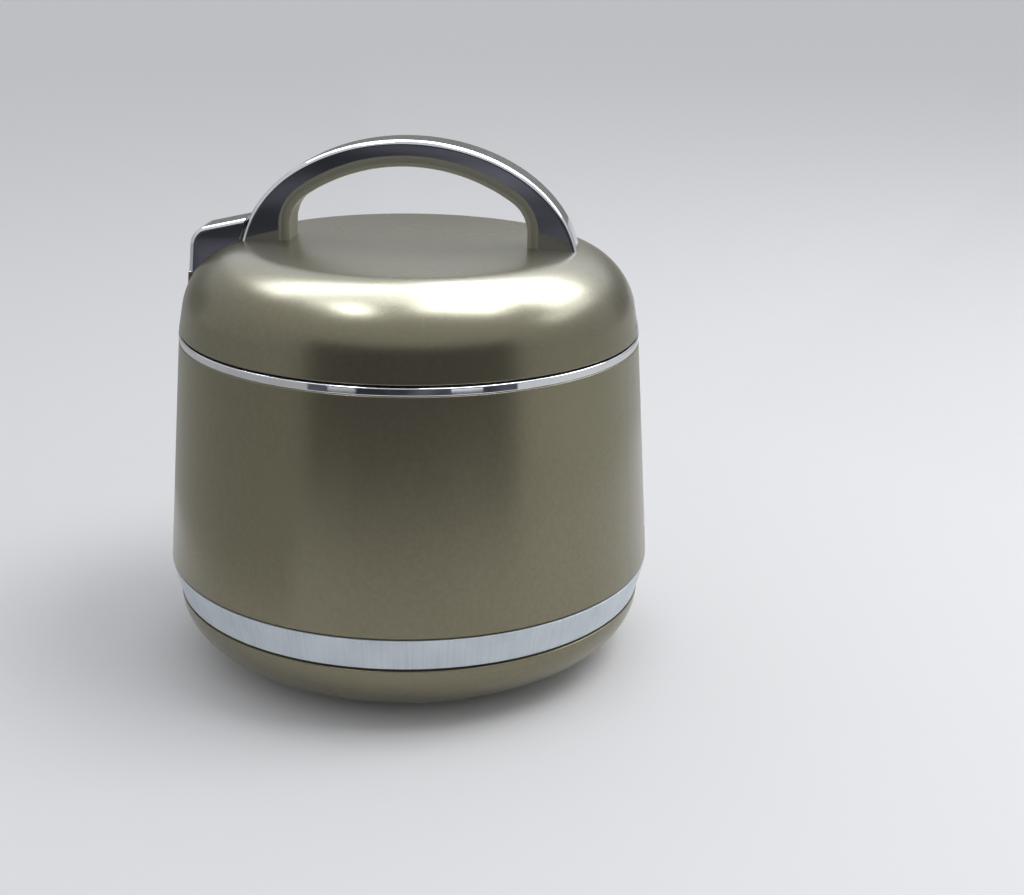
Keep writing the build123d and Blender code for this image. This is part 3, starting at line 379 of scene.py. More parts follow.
pan = {"rim": 121.0, "top": 35.7, "edge": 0.5, "curve": 60.0, "floor": 2.0, "wall": 2.5, "lift": 0.8,
       "rimW": 4.0, "rimIn": 0.05, "rimH": 3.0, "lipH": 2.0, "plug": 8.1, "ribW": 2.5, "ribH": 2.5,
       "steps": 40, "rimSteps": 3}
foot = {"middle": 74.0, "width": 8.0, "height": 5.0, "edge": 2.0, "fit": 0.1, "steps": 192}


def basePan():
    # a quarter ellipse from under the rim down to the flat floor, with the wall's inside above it
    reach, drop = pan["curve"], pan["top"]
    last = math.asin((drop - pan["floor"]) / drop)
    turns = [last * k / pan["steps"] for k in range(pan["rimSteps"], pan["steps"] + 1)]
    curve = [(pan["rim"] - reach + reach * math.cos(t), drop - drop * math.sin(t)) for t in turns]
    inside = pan["floor"] + pan["wall"]
    inner = [(r - pan["wall"], max(z + pan["wall"] * pan["lift"], inside)) for r, z in curve]
    # the foot's groove with a rib over it, and the hole for the plug
    middle, half = foot["middle"], foot["width"] / 2 + foot["fit"]
    rib, ribTop = half + pan["ribW"], foot["height"] + pan["ribH"]
    under = [(middle + half, pan["floor"]), (middle + half, foot["height"]),
             (middle - half, foot["height"]), (middle - half, pan["floor"]),
             (pan["plug"], pan["floor"]), (pan["plug"], inside),
             (middle - rib, inside), (middle - rib, ribTop), (middle + rib, ribTop)]
    lip = pan["rim"] - pan["rimW"]
    rim = rounded([(lip, drop), (pan["rim"], drop, pan["edge"]),
                   (pan["rim"] - pan["rimIn"], drop - pan["rimH"])])[:-1]
    return turned("basePan", rim + curve + under + inner[::-1] + [(lip, drop - pan["lipH"])],
                  finishes["champagne_shell"], pot["steps"])


def trimBand():
    high, low = bandRadius(band["top"]), bandRadius(band["low"])
    return turned("trimBand", rounded([
        (high, band["top"], band["edge"]), (low, band["low"], band["edge"]),
        (low - band["thick"], band["low"]), (high - band["thick"], band["top"])]),
        finishes["brushed_trim"], pot["steps"])


ring = {"outer": 116.4, "low": 168.0, "top": 172.0, "width": 4.0, "edge": 0.7, "spigot": 8.0, "spigotW": 1.8}


def rimRing():
    # a chrome ring with a spigot down into the wall
    inner = ring["outer"] - ring["width"]
    step, end = inner + ring["spigotW"], ring["low"] - ring["spigot"]
    return turned("rimRing", rounded([
        (inner, ring["top"]), (ring["outer"], ring["top"], ring["edge"]),
        (ring["outer"], ring["low"], ring["edge"]), (step, ring["low"]), (step, end), (inner, end)]),
        finishes["chrome_plate"], pot["steps"])


def footRing():
    inner, outer = foot["middle"] - foot["width"] / 2, foot["middle"] + foot["width"] / 2
    return turned("footRing", rounded([
        (outer, 0, foot["edge"]), (outer, foot["height"]), (inner, foot["height"]),
        (inner, 0, foot["edge"])]), finishes["foot_rubber"], foot["steps"])


dress(potShell(), "body", "champagne_shell", "outer_shell")
dress(basePan(), "body", "champagne_shell", "base_pan")
dress(trimBand(), "body", "brushed_trim", "trim_band")
dress(rimRing(), "body", "chrome_plate", "rim_ring")
dress(footRing(), "body", "foot_rubber", "foot_ring")
print("pot made")


# The lid, and the block on it that covers the hinge

lid = {"edgeR": 116.2, "edgeZ": 173.0, "draft": 10.1, "top": 216.2, "crown": 1975.0, "shoulder": 36.0,
       "wall": 2.5, "edge": 0.5, "crownStep": 0.25, "shoulderStep": 3.0, "fitRounds": 60, "steps": 384,
       "crease": 30}


def lidLine(inset):
    # outside line of the lid from the axis out and down, drawn inset inside it
    draft = math.radians(lid["draft"])
    shoulder, crown = lid["shoulder"] - inset, lid["crown"] - inset
    crownZ = lid["top"] - lid["crown"]
    # the shoulder's centre is moved along the wall until its arc also touches the crown's
    start = Vector((lid["edgeR"] - inset / math.cos(draft), lid["edgeZ"]))
    along = Vector((-math.sin(draft), math.cos(draft)))
    outward = Vector((along.y, -along.x)) * shoulder
    reach = 0.0
    for k in range(lid["fitRounds"]):
        centre = start + along * reach - outward
        reach += crown - shoulder - (centre - Vector((0, crownZ))).length
    crownAngle = math.degrees(math.atan2(centre.y - crownZ, centre.x))
    top = arc((0, crownZ), crown, 90, crownAngle, lid["crownStep"])
    return top[:-1] + arc(centre, shoulder, crownAngle, lid["draft"], lid["shoulderStep"])


block = {"half": 11.0, "wall": 1.6, "edge": 2.5, "corner": 11.0, "step": 3.0, "gap": 1.2, "slope": 13.0,
         "backX": -109.8, "backZ": 219.2, "footX": -111.7, "footZ": 198.0, "frontX": -60.0, "sink": 12.0,
         "slotTop": 213.5, "slotHalf": 6.6}
seat = {"low": 188.0, "frontX": -106.5, "edge": 0.6, "fit": 0.1}
pivot = {"x": -104.2, "z": 204.0, "reach": 7.7, "relief": 31.7, "reliefEnd": 241.3, "reliefZ": 176.2,
         "step": 3.0}
window = {"x": 118.0, "depth": 12.0, "half": 14.5, "low": 177.0, "high": 187.5, "corner": 1.9}
# where the cutters end: none of these ends is left on a finished piece
ends = {"behind": -130.0, "under": 165.0, "over": 230.0, "coreFront": -65.0, "coreLow": 185.0,
        "bayLow": 181.0, "bayHalf": 16.0, "footFront": -80.0, "footLow": 178.0, "footHalf": 18.0,
        "slotBehind": -131.0, "slotLow": 177.0}


def backX(z):
    # the block's rear face at the height z, carried on down into the lid
    lean = (block["backX"] - block["footX"]) / (block["backZ"] - block["footZ"])
    return block["footX"] + (z - block["footZ"]) * lean


def hingeSeat():
    # solid ground in the lid's wall for the block to stand on
    low, high, front = seat["low"], block["footZ"], seat["frontX"]
    return plate("seat", [(backX(high), high), (backX(low), low), (front, low), (front, high)],
                 block["half"], seat["edge"])


def hingeRelief():
    # room for the lid's rear edge to swing down past the pot's
    return plate("relief", [(ends["behind"], ends["under"]), (pivot["x"], ends["under"])]
                 + arc((pivot["x"], pivot["z"]), pivot["relief"], 270, pivot["reliefEnd"], pivot["step"])
                 + [(ends["behind"], pivot["reliefZ"])], pivot["relief"])


def buttonWindow():
    # drawn facing -Y, then turned to face +X
    half, corner = window["half"], window["corner"]
    opening = plate("opening", rounded([
        (-half, window["low"], corner), (half, window["low"], corner),
        (half, window["high"], corner), (-half, window["high"], corner)]), window["depth"])
    quarter = Matrix.Rotation(math.pi / 2, 4, "Z")
    opening.data.transform(Matrix.Translation((window["x"] * mm, 0, 0)) @ quarter)
    return opening


def lidShell():
    outer, inner = lidLine(0), lidLine(lid["wall"])
    low = lid["edgeZ"]
    edge = rounded([outer[-1], (lid["edgeR"], low, lid["edge"]), (inner[-1][0], low)])[1:-1]
    edge += [(lid["edgeR"] - lid["wall"] / math.cos(math.radians(lid["draft"])), low)]
    shell = turned("lidShell", outer + edge + inner[::-1], finishes["champagne_shell"], lid["steps"])
    shell = combined(shell, [hingeSeat()], "UNION")
    slot = slab("slot", ends["behind"], pivot["x"], ends["under"], block["footZ"], block["slotHalf"])
    hole = slab("hole", ends["behind"], pivot["x"] + pivot["reach"], block["footZ"], ends["over"],
                block["half"] - block["wall"] - seat["fit"])
    for cutter in (slot, hole, hingeRelief(), buttonWindow()):
        shell = combined(shell, [cutter], "DIFFERENCE")
    return shell


dress(lidShell(), "lid", "champagne_shell", "lid_shell", crease=lid["crease"])
print("lid made")


# The handle, and the hinge cover behind it

handle = {"half": 11.0, "halfLength": 85.5, "rise": 63.25, "z": 203.5, "foot": 213.2, "skin": 2.2,
          "side": 2.6, "edge": 2.5, "archZ": 163.1, "arch": 96.2, "leg": 65.0, "corner": 24.0,
          "hollowPast": 4.0, "onLine": 0.01, "outerSteps": 120, "archStep": 1.5, "cornerStep": 3.0}
grip = {"half": 10.5, "edge": 0.8, "thick": 5.6, "fit": 0.05, "lip": 1.5, "groove": 2.0, "grooveDeep": 0.8,
        "cutPast": 5.0, "cutOver": 1.0}


def archLine(inset, bottom):
    # inner line of the chrome's arch, drawn inset inside it, from the right foot over to the left
    legX, radius, corner = handle["leg"] - inset, handle["arch"] - inset, handle["corner"] - inset
    x = legX - corner
    z = handle["archZ"] + math.sqrt((radius - corner) ** 2 - x ** 2)
    turn = math.degrees(math.atan2(z - handle["archZ"], x))
    right = [(legX, bottom)] + arc((x, z), corner, 0, turn, handle["cornerStep"])
    top = arc((0, handle["archZ"]), radius, turn, 180 - turn, handle["archStep"])[1:-1]
    return right + top + [(-across, up) for across, up in right[::-1]]


def ellipseLine(inset, bottom):
    # the handle's outer line from the left foot over to the right
    reach, rise, count = handle["halfLength"] - inset, handle["rise"] - inset, handle["outerSteps"]
    start = math.degrees(math.asin((bottom - handle["z"]) / rise))
    angles = [math.radians(180 - start - (180 - 2 * start) * k / count) for k in range(count + 1)]
    return [(reach * math.cos(t), handle["z"] + rise * math.sin(t)) for t in angles]


def onEllipse(x, z):
    # true on the handle's outer line
    across, up = x / handle["halfLength"], (z - handle["z"]) / handle["rise"]
    return abs(across ** 2 + up ** 2 - 1) < handle["onLine"]


def handleCover():
    # a chrome arch, hollow from below
    low = handle["foot"]
    cover = plate("handleCover", ellipseLine(0, low) + archLine(0, low), handle["half"], handle["edge"],
                  onEllipse)
    core = plate("core", ellipseLine(handle["skin"], low - handle["hollowPast"]),
                 handle["half"] - handle["side"])
    return combined(cover, [core], "DIFFERENCE")


def handleGrip():
    low = handle["foot"]
    inner = archLine(grip["thick"], low)
    isInner = {(round(x, 3), round(z, 3)) for x, z in inner}
    liner = plate("handleGrip", archLine(grip["fit"], low) + inner[::-1], grip["half"], grip["edge"],
                  lambda x, z: (round(x, 3), round(z, 3)) in isInner)
    # a groove runs along both faces, beside the lip under the chrome
    end = low - grip["cutPast"]
    strip = archLine(grip["lip"], end) + archLine(grip["lip"] + grip["groove"], end)[::-1]
    depth = (grip["cutOver"] + grip["grooveDeep"]) / 2
    middle = grip["half"] + grip["cutOver"] - depth
    grooves = [plate("groove", strip, depth, middle=side * middle) for side in (-1, 1)]
    return combined(liner, grooves, "DIFFERENCE")


def hingeCover():
    # the block goes on under the handle and into the lid, where the cutters end it
    low, front, wall = block["footZ"] - block["sink"], block["frontX"], block["wall"]
    high = block["backZ"] + (front - block["backX"]) * math.tan(math.radians(block["slope"]))
    cover = plate("hingeCover", rounded([
        (front, high), (block["backX"], block["backZ"], block["corner"]), (backX(low), low),
        (front, low)], block["step"]), block["half"], block["edge"])
    core = plate("core", rounded([
        (ends["coreFront"], high - 2 * wall),
        (block["backX"] + wall, block["backZ"] - wall, block["corner"] - wall),
        (backX(low) + wall, ends["coreLow"]), (ends["coreFront"], ends["coreLow"])], block["step"]),
        block["half"] - wall)
    bay = plate("bay", ellipseLine(-block["gap"], ends["bayLow"]), ends["bayHalf"])
    lidForm = turned("lidForm", lidLine(0) + [(lid["edgeR"], lid["edgeZ"]), (0, lid["edgeZ"])],
                     finishes["champagne_shell"])
    base = slab("base", ends["behind"], ends["footFront"], ends["footLow"], block["footZ"],
                ends["footHalf"])
    slot = slab("slot", ends["slotBehind"], pivot["x"], ends["slotLow"], block["slotTop"],
                block["slotHalf"])
    for cutter in (core, bay, lidForm, base, slot):
        cover = combined(cover, [cutter], "DIFFERENCE")
    return cover


dress(handleCover(), "lid", "chrome_plate", "handle_cover")
dress(handleGrip(), "lid", "grip_moulding", "handle_grip")
dress(hingeCover(), "lid", "chrome_plate", "hinge_cover")
print("handle made")


# Pieces kept as drawn, welded and smoothed

bodyOf = {name: body for body, names in frame["record"]["behaviour"]["bodies"].items() for name in names}
kept = {
    "rim_collar": "ivory_moulding", "catch_plate": "stainless", "hinge_bracket": "champagne_shell",
    "hinge_fork": "cast_zinc", "hinge_pin": "screw_steel", "hinge_bushes": "ivory_moulding",
    "lid_base": "ivory_moulding", "latch_slider": "ivory_moulding", "latch_button": "champagne_shell",
    "latch_guide": "ivory_moulding", "latch_spring": "screw_steel", "filling_plug": "grey_moulding",
    "foam_fill": "foam", "lid_foam": "foam", "handle_backing_plates": "screw_steel",
}
for node, finish in kept.items():
    words = node.split("_")
    name = words[0] + "".join(word.capitalize() for word in words[1:])
    piece = dress(copyOf(name, node), bodyOf[node], finish, node)
    if node == "latch_spring":
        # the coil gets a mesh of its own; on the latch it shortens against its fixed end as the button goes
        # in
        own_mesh(piece)
print("pieces kept:", len(kept))


# The bowl, the plate under the lid and the gasket

bowl = {"mouth": 95.0, "low": 89.2, "top": 171.4, "floor": 41.4, "corner": 18.0, "wall": 0.8,
        "flange": 100.5, "bend": 0.6, "edge": 0.3, "step": 3.0}


def innerBowl():
    wall, floor, top = bowl["wall"], bowl["floor"], bowl["top"]
    return turned("innerBowl", rounded([
        (0, floor), (bowl["low"], floor, bowl["corner"]), (bowl["mouth"], top, bowl["bend"]),
        (bowl["flange"], top, bowl["edge"]), (bowl["flange"], top - wall),
        (bowl["mouth"] + wall, top - wall), (bowl["low"] + wall, floor - wall, bowl["corner"] + wall),
        (0, floor - wall)], bowl["step"]), finishes["stainless"])


disc = {"radius": 88.0, "low": 161.2, "sheet": 0.8, "dish": 58.0, "rise": 1.5, "bend": 1.0, "step": 8.0}


def lidPlate():
    # a steel disc whose middle is pressed up a little
    low, sheet, bend, dish = disc["low"], disc["sheet"], disc["bend"], disc["dish"]
    high, step = low + disc["rise"], dish + disc["rise"]
    return turned("lidPlate", rounded([
        (0, high), (dish, high, bend), (step, low, bend), (disc["radius"], low),
        (disc["radius"], low + sheet), (step, low + sheet, bend), (dish, high + sheet, bend),
        (0, high + sheet)], disc["step"]), finishes["stainless"])


gasket = {"middle": 98.25, "half": 1.65, "low": 171.7, "high": 174.9, "edge": 1.3, "step": 12.0,
          "steps": 192}


def lidGasket():
    inner, outer = gasket["middle"] - gasket["half"], gasket["middle"] + gasket["half"]
    return turned("lidGasket", rounded([
        (outer, gasket["low"], gasket["edge"]), (outer, gasket["high"]), (inner, gasket["high"]),
        (inner, gasket["low"], gasket["edge"])], gasket["step"]), finishes["silicone"], gasket["steps"])


dress(innerBowl(), "body", "stainless", "inner_bowl")
dress(lidPlate(), "lid", "stainless", "lid_plate")
dress(lidGasket(), "lid", "silicone", "lid_gasket")
print("bowl and lid plate made")


# The screws: one is made and put at every place of its set

flatHead = {"Shank": 1.5, "Head": 1.5, "Head Top": 2.775, "Head Height": 1.275, "Head Low": -1.275,
            "Slot": 0.5}
panHead = {"Shank": 1.5, "Head": 2.775, "Head Top": 2.2, "Head Height": 1.65, "Head Low": 0.0, "Slot": 0.55}
bigHead = {"Shank": 2.0, "Head": 3.7, "Head Top": 2.9, "Head Height": 2.2, "Head Low": 0.0, "Slot": 0.7}
screws = {
    "catchScrews": {"kind": flatHead, "length": 9.0, "down": False,
                    "places": [(105.4, y, 171.4) for y in (-13.7, 13.7)]},
    "lidScrews": {"kind": flatHead, "length": 9.0, "down": True,
                  "places": [(x, y, 174.2) for x, y in arc((0, 0), 104.0, 30, 330, 60)]},
    "bracketScrews": {"kind": panHead, "length": 12.0, "down": False,
                      "places": [(-104.6, y, 174.4) for y in (-3.1, 3.1)]},
    "guideScrews": {"kind": panHead, "length": 6.0, "down": False,
                    "places": [(96.0, y, 182.2) for y in (-17.4, 17.4)]},
    "forkScrews": {"kind": bigHead, "length": 11.5, "down": True,
                   "places": [(-92.1, y, 205.0) for y in (-4.6, 4.6)]},
    "handleScrews": {"kind": bigHead, "length": 20.0, "down": True,
                     "places": [(x, y, 208.0) for x in (-71.5, 71.5) for y in (-5.0, 5.0)]},
}
# the head's and shank's sides, and the recess's bars in widths of the slot
screwForm = {"headSides": 32, "shankSides": 24, "barLength": 4.4, "barRaised": 0.9}


def screwTree():
    # a head with a cross recess on a plain shank, copied to the points that come in
    labels = ["Shank", "Length", "Head", "Head Top", "Head Height", "Head Low", "Slot", "Turn"]
    tree, given, result = geometryTree("screwSet", [(label, "NodeSocketFloat") for label in labels]
                                       + [("Finish", "NodeSocketMaterial")])
    link = tree.links.new
    size = given.outputs
    head = addNode(tree, "GeometryNodeMeshCone", {"Vertices": screwForm["headSides"]}, fill_type="NGON")
    shank = addNode(tree, "GeometryNodeMeshCylinder", {"Vertices": screwForm["shankSides"]},
                    fill_type="NGON")
    link(size["Head Top"], head.inputs["Radius Top"])
    link(size["Head"], head.inputs["Radius Bottom"])
    link(size["Head Height"], head.inputs["Depth"])
    link(size["Shank"], shank.inputs["Radius"])
    link(size["Length"], shank.inputs["Depth"])
    # the recess is two crossed bars sunk into the top of the head
    top = addNode(tree, "ShaderNodeMath", operation="ADD")
    link(size["Head Height"], top.inputs[0])
    link(size["Head Low"], top.inputs[1])
    bars = addNode(tree, "GeometryNodeJoinGeometry")
    for long, short in (("X", "Y"), ("Y", "X")):
        reach = addNode(tree, "ShaderNodeMath", {1: screwForm["barLength"]}, operation="MULTIPLY")
        sizes = addNode(tree, "ShaderNodeCombineXYZ")
        bar = addNode(tree, "GeometryNodeMeshCube")
        link(size["Slot"], reach.inputs[0])
        link(reach.outputs[0], sizes.inputs[long])
        link(size["Slot"], sizes.inputs[short])
        link(reach.outputs[0], sizes.inputs["Z"])
        link(sizes.outputs[0], bar.inputs["Size"])
        link(bar.outputs["Mesh"], bars.inputs["Geometry"])
    sunk = addNode(tree, "ShaderNodeMath", {1: screwForm["barRaised"]}, operation="MULTIPLY")
    raised = addNode(tree, "ShaderNodeMath", operation="ADD")
    link(size["Slot"], sunk.inputs[0])
    link(sunk.outputs[0], raised.inputs[0])
    link(top.outputs[0], raised.inputs[1])
    barPlace = addNode(tree, "ShaderNodeCombineXYZ")
    link(raised.outputs[0], barPlace.inputs["Z"])
    recess = addNode(tree, "GeometryNodeTransform")
    link(bars.outputs["Geometry"], recess.inputs["Geometry"])
    link(barPlace.outputs[0], recess.inputs["Translation"])
    headPlace = addNode(tree, "ShaderNodeCombineXYZ")
    link(size["Head Low"], headPlace.inputs["Z"])
    headSet = addNode(tree, "GeometryNodeTransform")
    link(head.outputs["Mesh"], headSet.inputs["Geometry"])
    link(headPlace.outputs[0], headSet.inputs["Translation"])
    half = addNode(tree, "ShaderNodeMath", {1: -0.5}, operation="MULTIPLY")
    shankPlace = addNode(tree, "ShaderNodeCombineXYZ")
    shankSet = addNode(tree, "GeometryNodeTransform")
    link(size["Length"], half.inputs[0])
    link(half.outputs[0], shankPlace.inputs["Z"])
    link(shank.outputs["Mesh"], shankSet.inputs["Geometry"])
    link(shankPlace.outputs[0], shankSet.inputs["Translation"])
    cut = addNode(tree, "GeometryNodeMeshBoolean", operation="DIFFERENCE", solver="EXACT")
    link(headSet.outputs["Geometry"], cut.inputs["Mesh 1"])
    link(recess.outputs["Geometry"], cut.inputs["Mesh 2"])
    whole = addNode(tree, "GeometryNodeJoinGeometry")
    link(cut.outputs["Mesh"], whole.inputs["Geometry"])
    link(shankSet.outputs["Geometry"], whole.inputs["Geometry"])
    # millimetres to metres, and head down where the set asks for it
    turn = addNode(tree, "ShaderNodeCombineXYZ")
    scaled = addNode(tree, "GeometryNodeTransform", {"Scale": (mm, mm, mm)})
    link(size["Turn"], turn.inputs["X"])
    link(turn.outputs[0], scaled.inputs["Rotation"])
    link(whole.outputs["Geometry"], scaled.inputs["Geometry"])
    copies = addNode(tree, "GeometryNodeInstanceOnPoints")
    real = addNode(tree, "GeometryNodeRealizeInstances")
    finish = addNode(tree, "GeometryNodeSetMaterial")
    link(size["Geometry"], copies.inputs["Points"])
    link(scaled.outputs["Geometry"], copies.inputs["Instance"])
    link(copies.outputs["Instances"], real.inputs["Geometry"])
    link(real.outputs["Geometry"], finish.inputs["Geometry"])
    link(size["Finish"], finish.inputs["Material"])
    link(finish.outputs["Geometry"], result.inputs["Geometry"])
    return tree


screwSet = screwTree()


def screwsAt(name, screw):
    mesh = bpy.data.meshes.new(name)
    mesh.from_pydata([[c * mm for c in place] for place in screw["places"]], [], [])
    piece = linked(name, mesh)
    modifier = piece.modifiers.new("screwSet", "NODES")
    modifier.node_group = screwSet
    for label, value in screw["kind"].items():
        setInput(modifier, label, value)
    setInput(modifier, "Length", screw["length"])
    setInput(modifier, "Turn", math.pi if screw["down"] else 0.0)
    setInput(modifier, "Finish", finishes["screw_steel"])
    return applied(piece)


for name, screw in screws.items():
    node = name.replace("Screws", "_screws")
    dress(screwsAt(name, screw), bodyOf[node], "screw_steel", node)
print("screws set:", sum(len(screw["places"]) for screw in screws.values()))


# Floor, light and camera

camera = {"azimuth": 8.157, "distance": 0.7788, "height": 0.36655, "aim": (0.05314, 0, 0.10799),
          "roll": 1.125, "lens": 54.86, "sensor": 36.0}


def heading(angle):
    # a direction on the floor, in degrees from the camera's side towards the right
    turn = math.radians(angle + camera["azimuth"])
    return Vector((math.sin(turn), -math.cos(turn), 0))


def makeCamera():
    data = bpy.data.cameras.new("camera")
    data.lens = camera["lens"]
    data.sensor_width = camera["sensor"]
    eye = linked("camera", data)
    place = heading(0) * camera["distance"]
    eye.location = (place.x, place.y, camera["height"])
    look = (Vector(camera["aim"]) - eye.location).to_track_quat("-Z", "Y").to_matrix()
    eye.rotation_euler = (look @ Matrix.Rotation(math.radians(camera["roll"]), 3, "Z")).to_euler()
    bpy.context.scene.camera = eye


studio = {"floorSize": 60.0, "floor": (0.80, 0.80, 0.81), "rough": 0.9, "specular": 0.1,
          "sky": (0.66, 0.67, 0.69), "walls": (0.50, 0.515, 0.545), "skyFrom": 0.7, "strength": 1.0,
          "clothLow": 0.003, "clothStep": 0.0005, "fanSteps": 24, "patchSpan": (0.42, 0.68),
          "patchDetail": 1.0}
# sheets lie on the floor between two angles and two distances, and walls stand on it; they are painted
# reflections
# that only show in what is polished: dark ones paint reflected shade, pale ones reflected light, narrow pale
# strips bright reflected dashes, and their two uneven tones a painted, uneven reflected room
floorReflections = {
    "clothFront": {"angles": (-46.0, 48.0), "reach": (0.58, 4.0), "dark": (0.022, 0.022, 0.026),
                   "pale": (0.15, 0.15, 0.175), "patches": 3.5},
    "clothLeft": {"angles": (-178.0, -46.0), "reach": (0.30, 4.0), "dark": (0.48, 0.48, 0.46),
                  "pale": (0.52, 0.52, 0.50), "patches": 1.5},
    "clothRight": {"angles": (48.0, 150.0), "reach": (0.48, 4.0), "dark": (0.58, 0.58, 0.56),
                   "pale": (0.62, 0.62, 0.60), "patches": 1.5},
    "cardLeft": {"angles": (-36.5, -24.0), "reach": (0.674, 0.706), "dark": (0.90, 0.90, 0.90),
                 "pale": (0.95, 0.95, 0.95), "patches": 9.0},
    "cardRight": {"angles": (17.5, 31.5), "reach": (0.674, 0.706), "dark": (0.90, 0.90, 0.90),
                  "pale": (0.95, 0.95, 0.95), "patches": 9.0},
}
# walls that paint reflections only: the dark front one paints the reflected shade of the room before the
# pot, the back one the reflected mid-toned back of the room
wallReflections = {
    "curtainFront": {"angles": (-50.0, 52.0), "away": 4.0, "height": 1.7, "dark": (0.03, 0.03, 0.033),
                     "pale": (0.13, 0.13, 0.15), "patches": 2.0},
    "curtainBack": {"angles": (125.0, 235.0), "away": 4.0, "height": 1.16, "dark": (0.36, 0.355, 0.325),
                    "pale": (0.44, 0.435, 0.40), "patches": 1.2},
}


def stageMesh(name, corners, faces, colour):
    mesh = bpy.data.meshes.new(name)
    mesh.from_pydata(corners, [], faces)
    sheet = linked(name, mesh)
    material = bpy.data.materials.new(name)
    material.use_nodes = True
    shader = material.node_tree.nodes["Principled BSDF"]
    shader.inputs["Base Color"].default_value = (*colour, 1)
    shader.inputs["Roughness"].default_value = studio["rough"]
    shader.inputs["Specular IOR Level"].default_value = studio["specular"]
    mesh.materials.append(material)
    return sheet


def onlyInShine(sheet, look):
    # a painted reflection: hidden but for its reflection, with pale patches on the dark that paint an uneven
    # reflected room
    sheet.visible_camera = False
    sheet.visible_diffuse = False
    sheet.visible_shadow = False
    tree = sheet.data.materials[0].node_tree
    low, high = studio["patchSpan"]
    patches = addNode(tree, "ShaderNodeTexNoise", {"Scale": look["patches"],
                                                   "Detail": studio["patchDetail"]})
    spread = addNode(tree, "ShaderNodeMapRange", {"From Min": low, "From Max": high})
    tone = addNode(tree, "ShaderNodeMix", data_type="RGBA")
    tone.inputs["A"].default_value = (*look["dark"], 1)
    tone.inputs["B"].default_value = (*look["pale"], 1)
    tree.links.new(addNode(tree, "ShaderNodeTexCoord").outputs["Object"], patches.inputs["Vector"])
    tree.links.new(patches.outputs["Fac"], spread.inputs["Value"])
    tree.links.new(spread.outputs["Result"], tone.inputs["Factor"])
    tree.links.new(tone.outputs["Result"], tree.nodes["Principled BSDF"].inputs["Base Color"])


def fan(angles, away):
    # points at one distance, from one angle round to the other
    start, end = angles
    count = studio["fanSteps"]
    return [heading(start + (end - start) * k / count) * away for k in range(count + 1)]


def makeFloor():
    half = studio["floorSize"] / 2
    stageMesh("floor", [(-half, -half, 0), (half, -half, 0), (half, half, 0), (-half, half, 0)],
              [(0, 1, 2, 3)], studio["floor"])


def makeFloorReflection(name, floorReflection, height):
    # a floor sheet that paints a reflection only: dark for reflected shade, pale for reflected light
    near, far = floorReflection["reach"]
    line = fan(floorReflection["angles"], near) + fan(floorReflection["angles"], far)[::-1]
    sheet = stageMesh(name, [(p.x, p.y, height) for p in line], [tuple(range(len(line)))], floorReflection["dark"])
    onlyInShine(sheet, floorReflection)


def makeWallReflection(name, wallReflection):
    # a standing wall that paints a reflection only
    line = fan(wallReflection["angles"], wallReflection["away"])
    count = len(line)
    corners = [(p.x, p.y, z) for z in (0, wallReflection["height"]) for p in line]
    faces = [(k, k + 1, count + k + 1, count + k) for k in range(count - 1)]
    onlyInShine(stageMesh(name, corners, faces, wallReflection["dark"]), wallReflection)


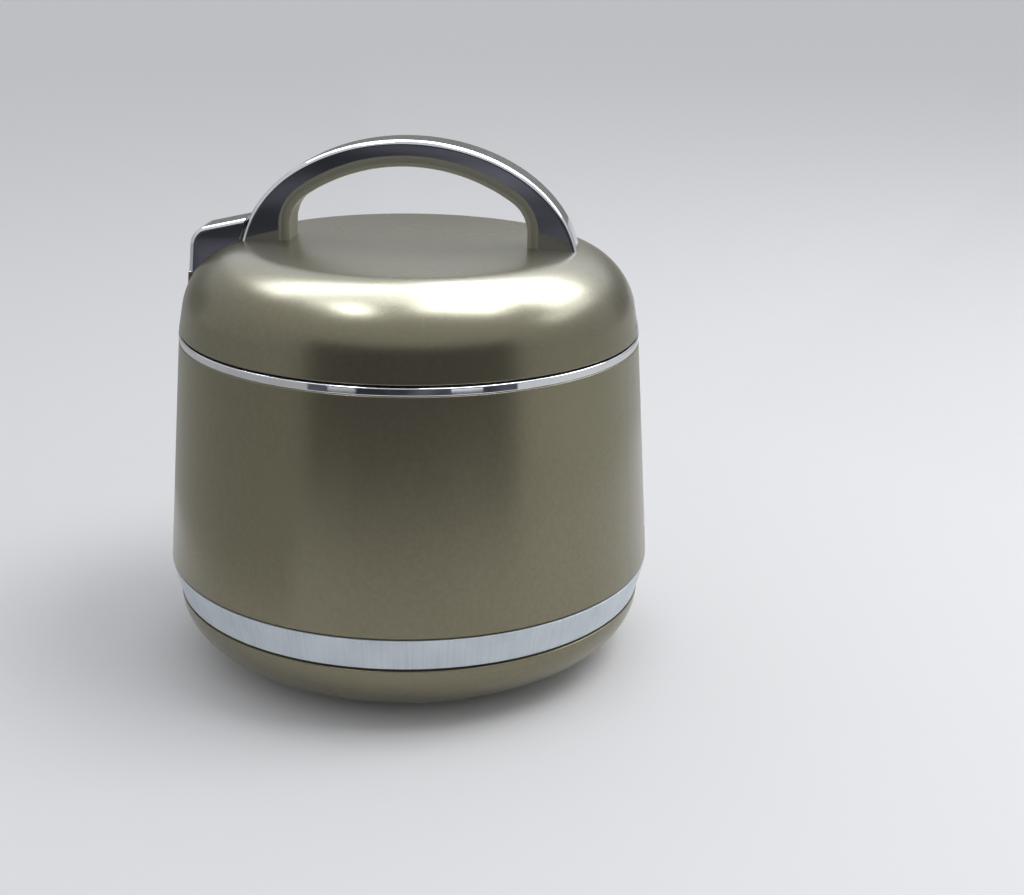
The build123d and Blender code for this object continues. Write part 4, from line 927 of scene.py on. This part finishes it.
def makeWorld():
    # pale walls that grow lighter towards the ceiling
    world = bpy.data.worlds.new("studio")
    bpy.context.scene.world = world
    world.use_nodes = True
    tree = world.node_tree
    link = tree.links.new
    room = tree.nodes["Background"]
    parts = addNode(tree, "ShaderNodeSeparateXYZ")
    link(addNode(tree, "ShaderNodeTexCoord").outputs["Generated"], parts.inputs["Vector"])
    rise = addNode(tree, "ShaderNodeMapRange", {"From Min": 0.0, "From Max": studio["skyFrom"]},
                   interpolation_type="SMOOTHSTEP")
    link(parts.outputs["Z"], rise.inputs["Value"])
    pale = addNode(tree, "ShaderNodeMix", data_type="RGBA")
    pale.inputs["A"].default_value = (*studio["walls"], 1)
    pale.inputs["B"].default_value = (*studio["sky"], 1)
    link(rise.outputs["Result"], pale.inputs["Factor"])
    link(pale.outputs["Result"], room.inputs["Color"])
    room.inputs["Strength"].default_value = studio["strength"]


# places in metres towards the camera's right, away from the camera and up from the lamps' zero height;
# the shine lamps only show in what is polished, and the soft one lights the rest
lampZero = 0.2
lampColour = (0.80, 0.86, 1.0)
lamps = {
    "shineLeft": {"place": (-0.50, 0.60, 1.2), "size": (1.10, 0.60), "power": 17.0, "shine": True},
    "shineMain": {"place": (0.42, 0.38, 1.2), "size": (0.74, 1.65), "power": 37.0, "shine": True},
    "shineRight": {"place": (1.20, 0.62, 1.2), "size": (0.82, 1.10), "power": 23.0, "shine": True},
    "shineFar": {"place": (2.00, 0.40, 1.2), "size": (0.78, 1.60), "power": 12.0, "shine": True},
    "shineBack": {"place": (0.60, 2.50, 1.2), "size": (4.0, 2.40), "power": 16.0, "shine": True},
    "shineSpot": {"place": (-0.45, -0.32, 1.2), "size": (0.22, 0.36), "power": 4.6, "shine": True},
    "shineDim": {"place": (-0.36, 0.075, 1.2), "size": (0.82, 0.45), "power": 4.0, "shine": True},
    "soft": {"place": (1.05, -0.20, 1.5), "size": (1.2, 1.2), "power": 17.0, "shine": False},
}


def makeLamps():
    for name, lamp in lamps.items():
        light = bpy.data.lights.new(name, "AREA")
        light.shape = "RECTANGLE"
        light.size, light.size_y = lamp["size"]
        light.energy = lamp["power"]
        if lamp["shine"]:
            light.color = lampColour
        fixture = linked(name, light)
        right, back, high = lamp["place"]
        place = heading(90) * right + heading(180) * back
        fixture.location = (place.x, place.y, lampZero + high)
        fixture.rotation_euler = (0, 0, math.radians(camera["azimuth"]))
        fixture.visible_diffuse = not lamp["shine"]
        fixture.visible_glossy = lamp["shine"]


makeFloor()
# sheets and walls that paint reflections, seen only in what is polished
for level, (name, floorReflection) in enumerate(floorReflections.items()):
    makeFloorReflection(name, floorReflection, studio["clothLow"] + studio["clothStep"] * level)
for name, wallReflection in wallReflections.items():
    makeWallReflection(name, wallReflection)
makeWorld()
makeLamps()
makeCamera()
bpy.context.scene.view_settings.view_transform = "Standard"
print("studio made")
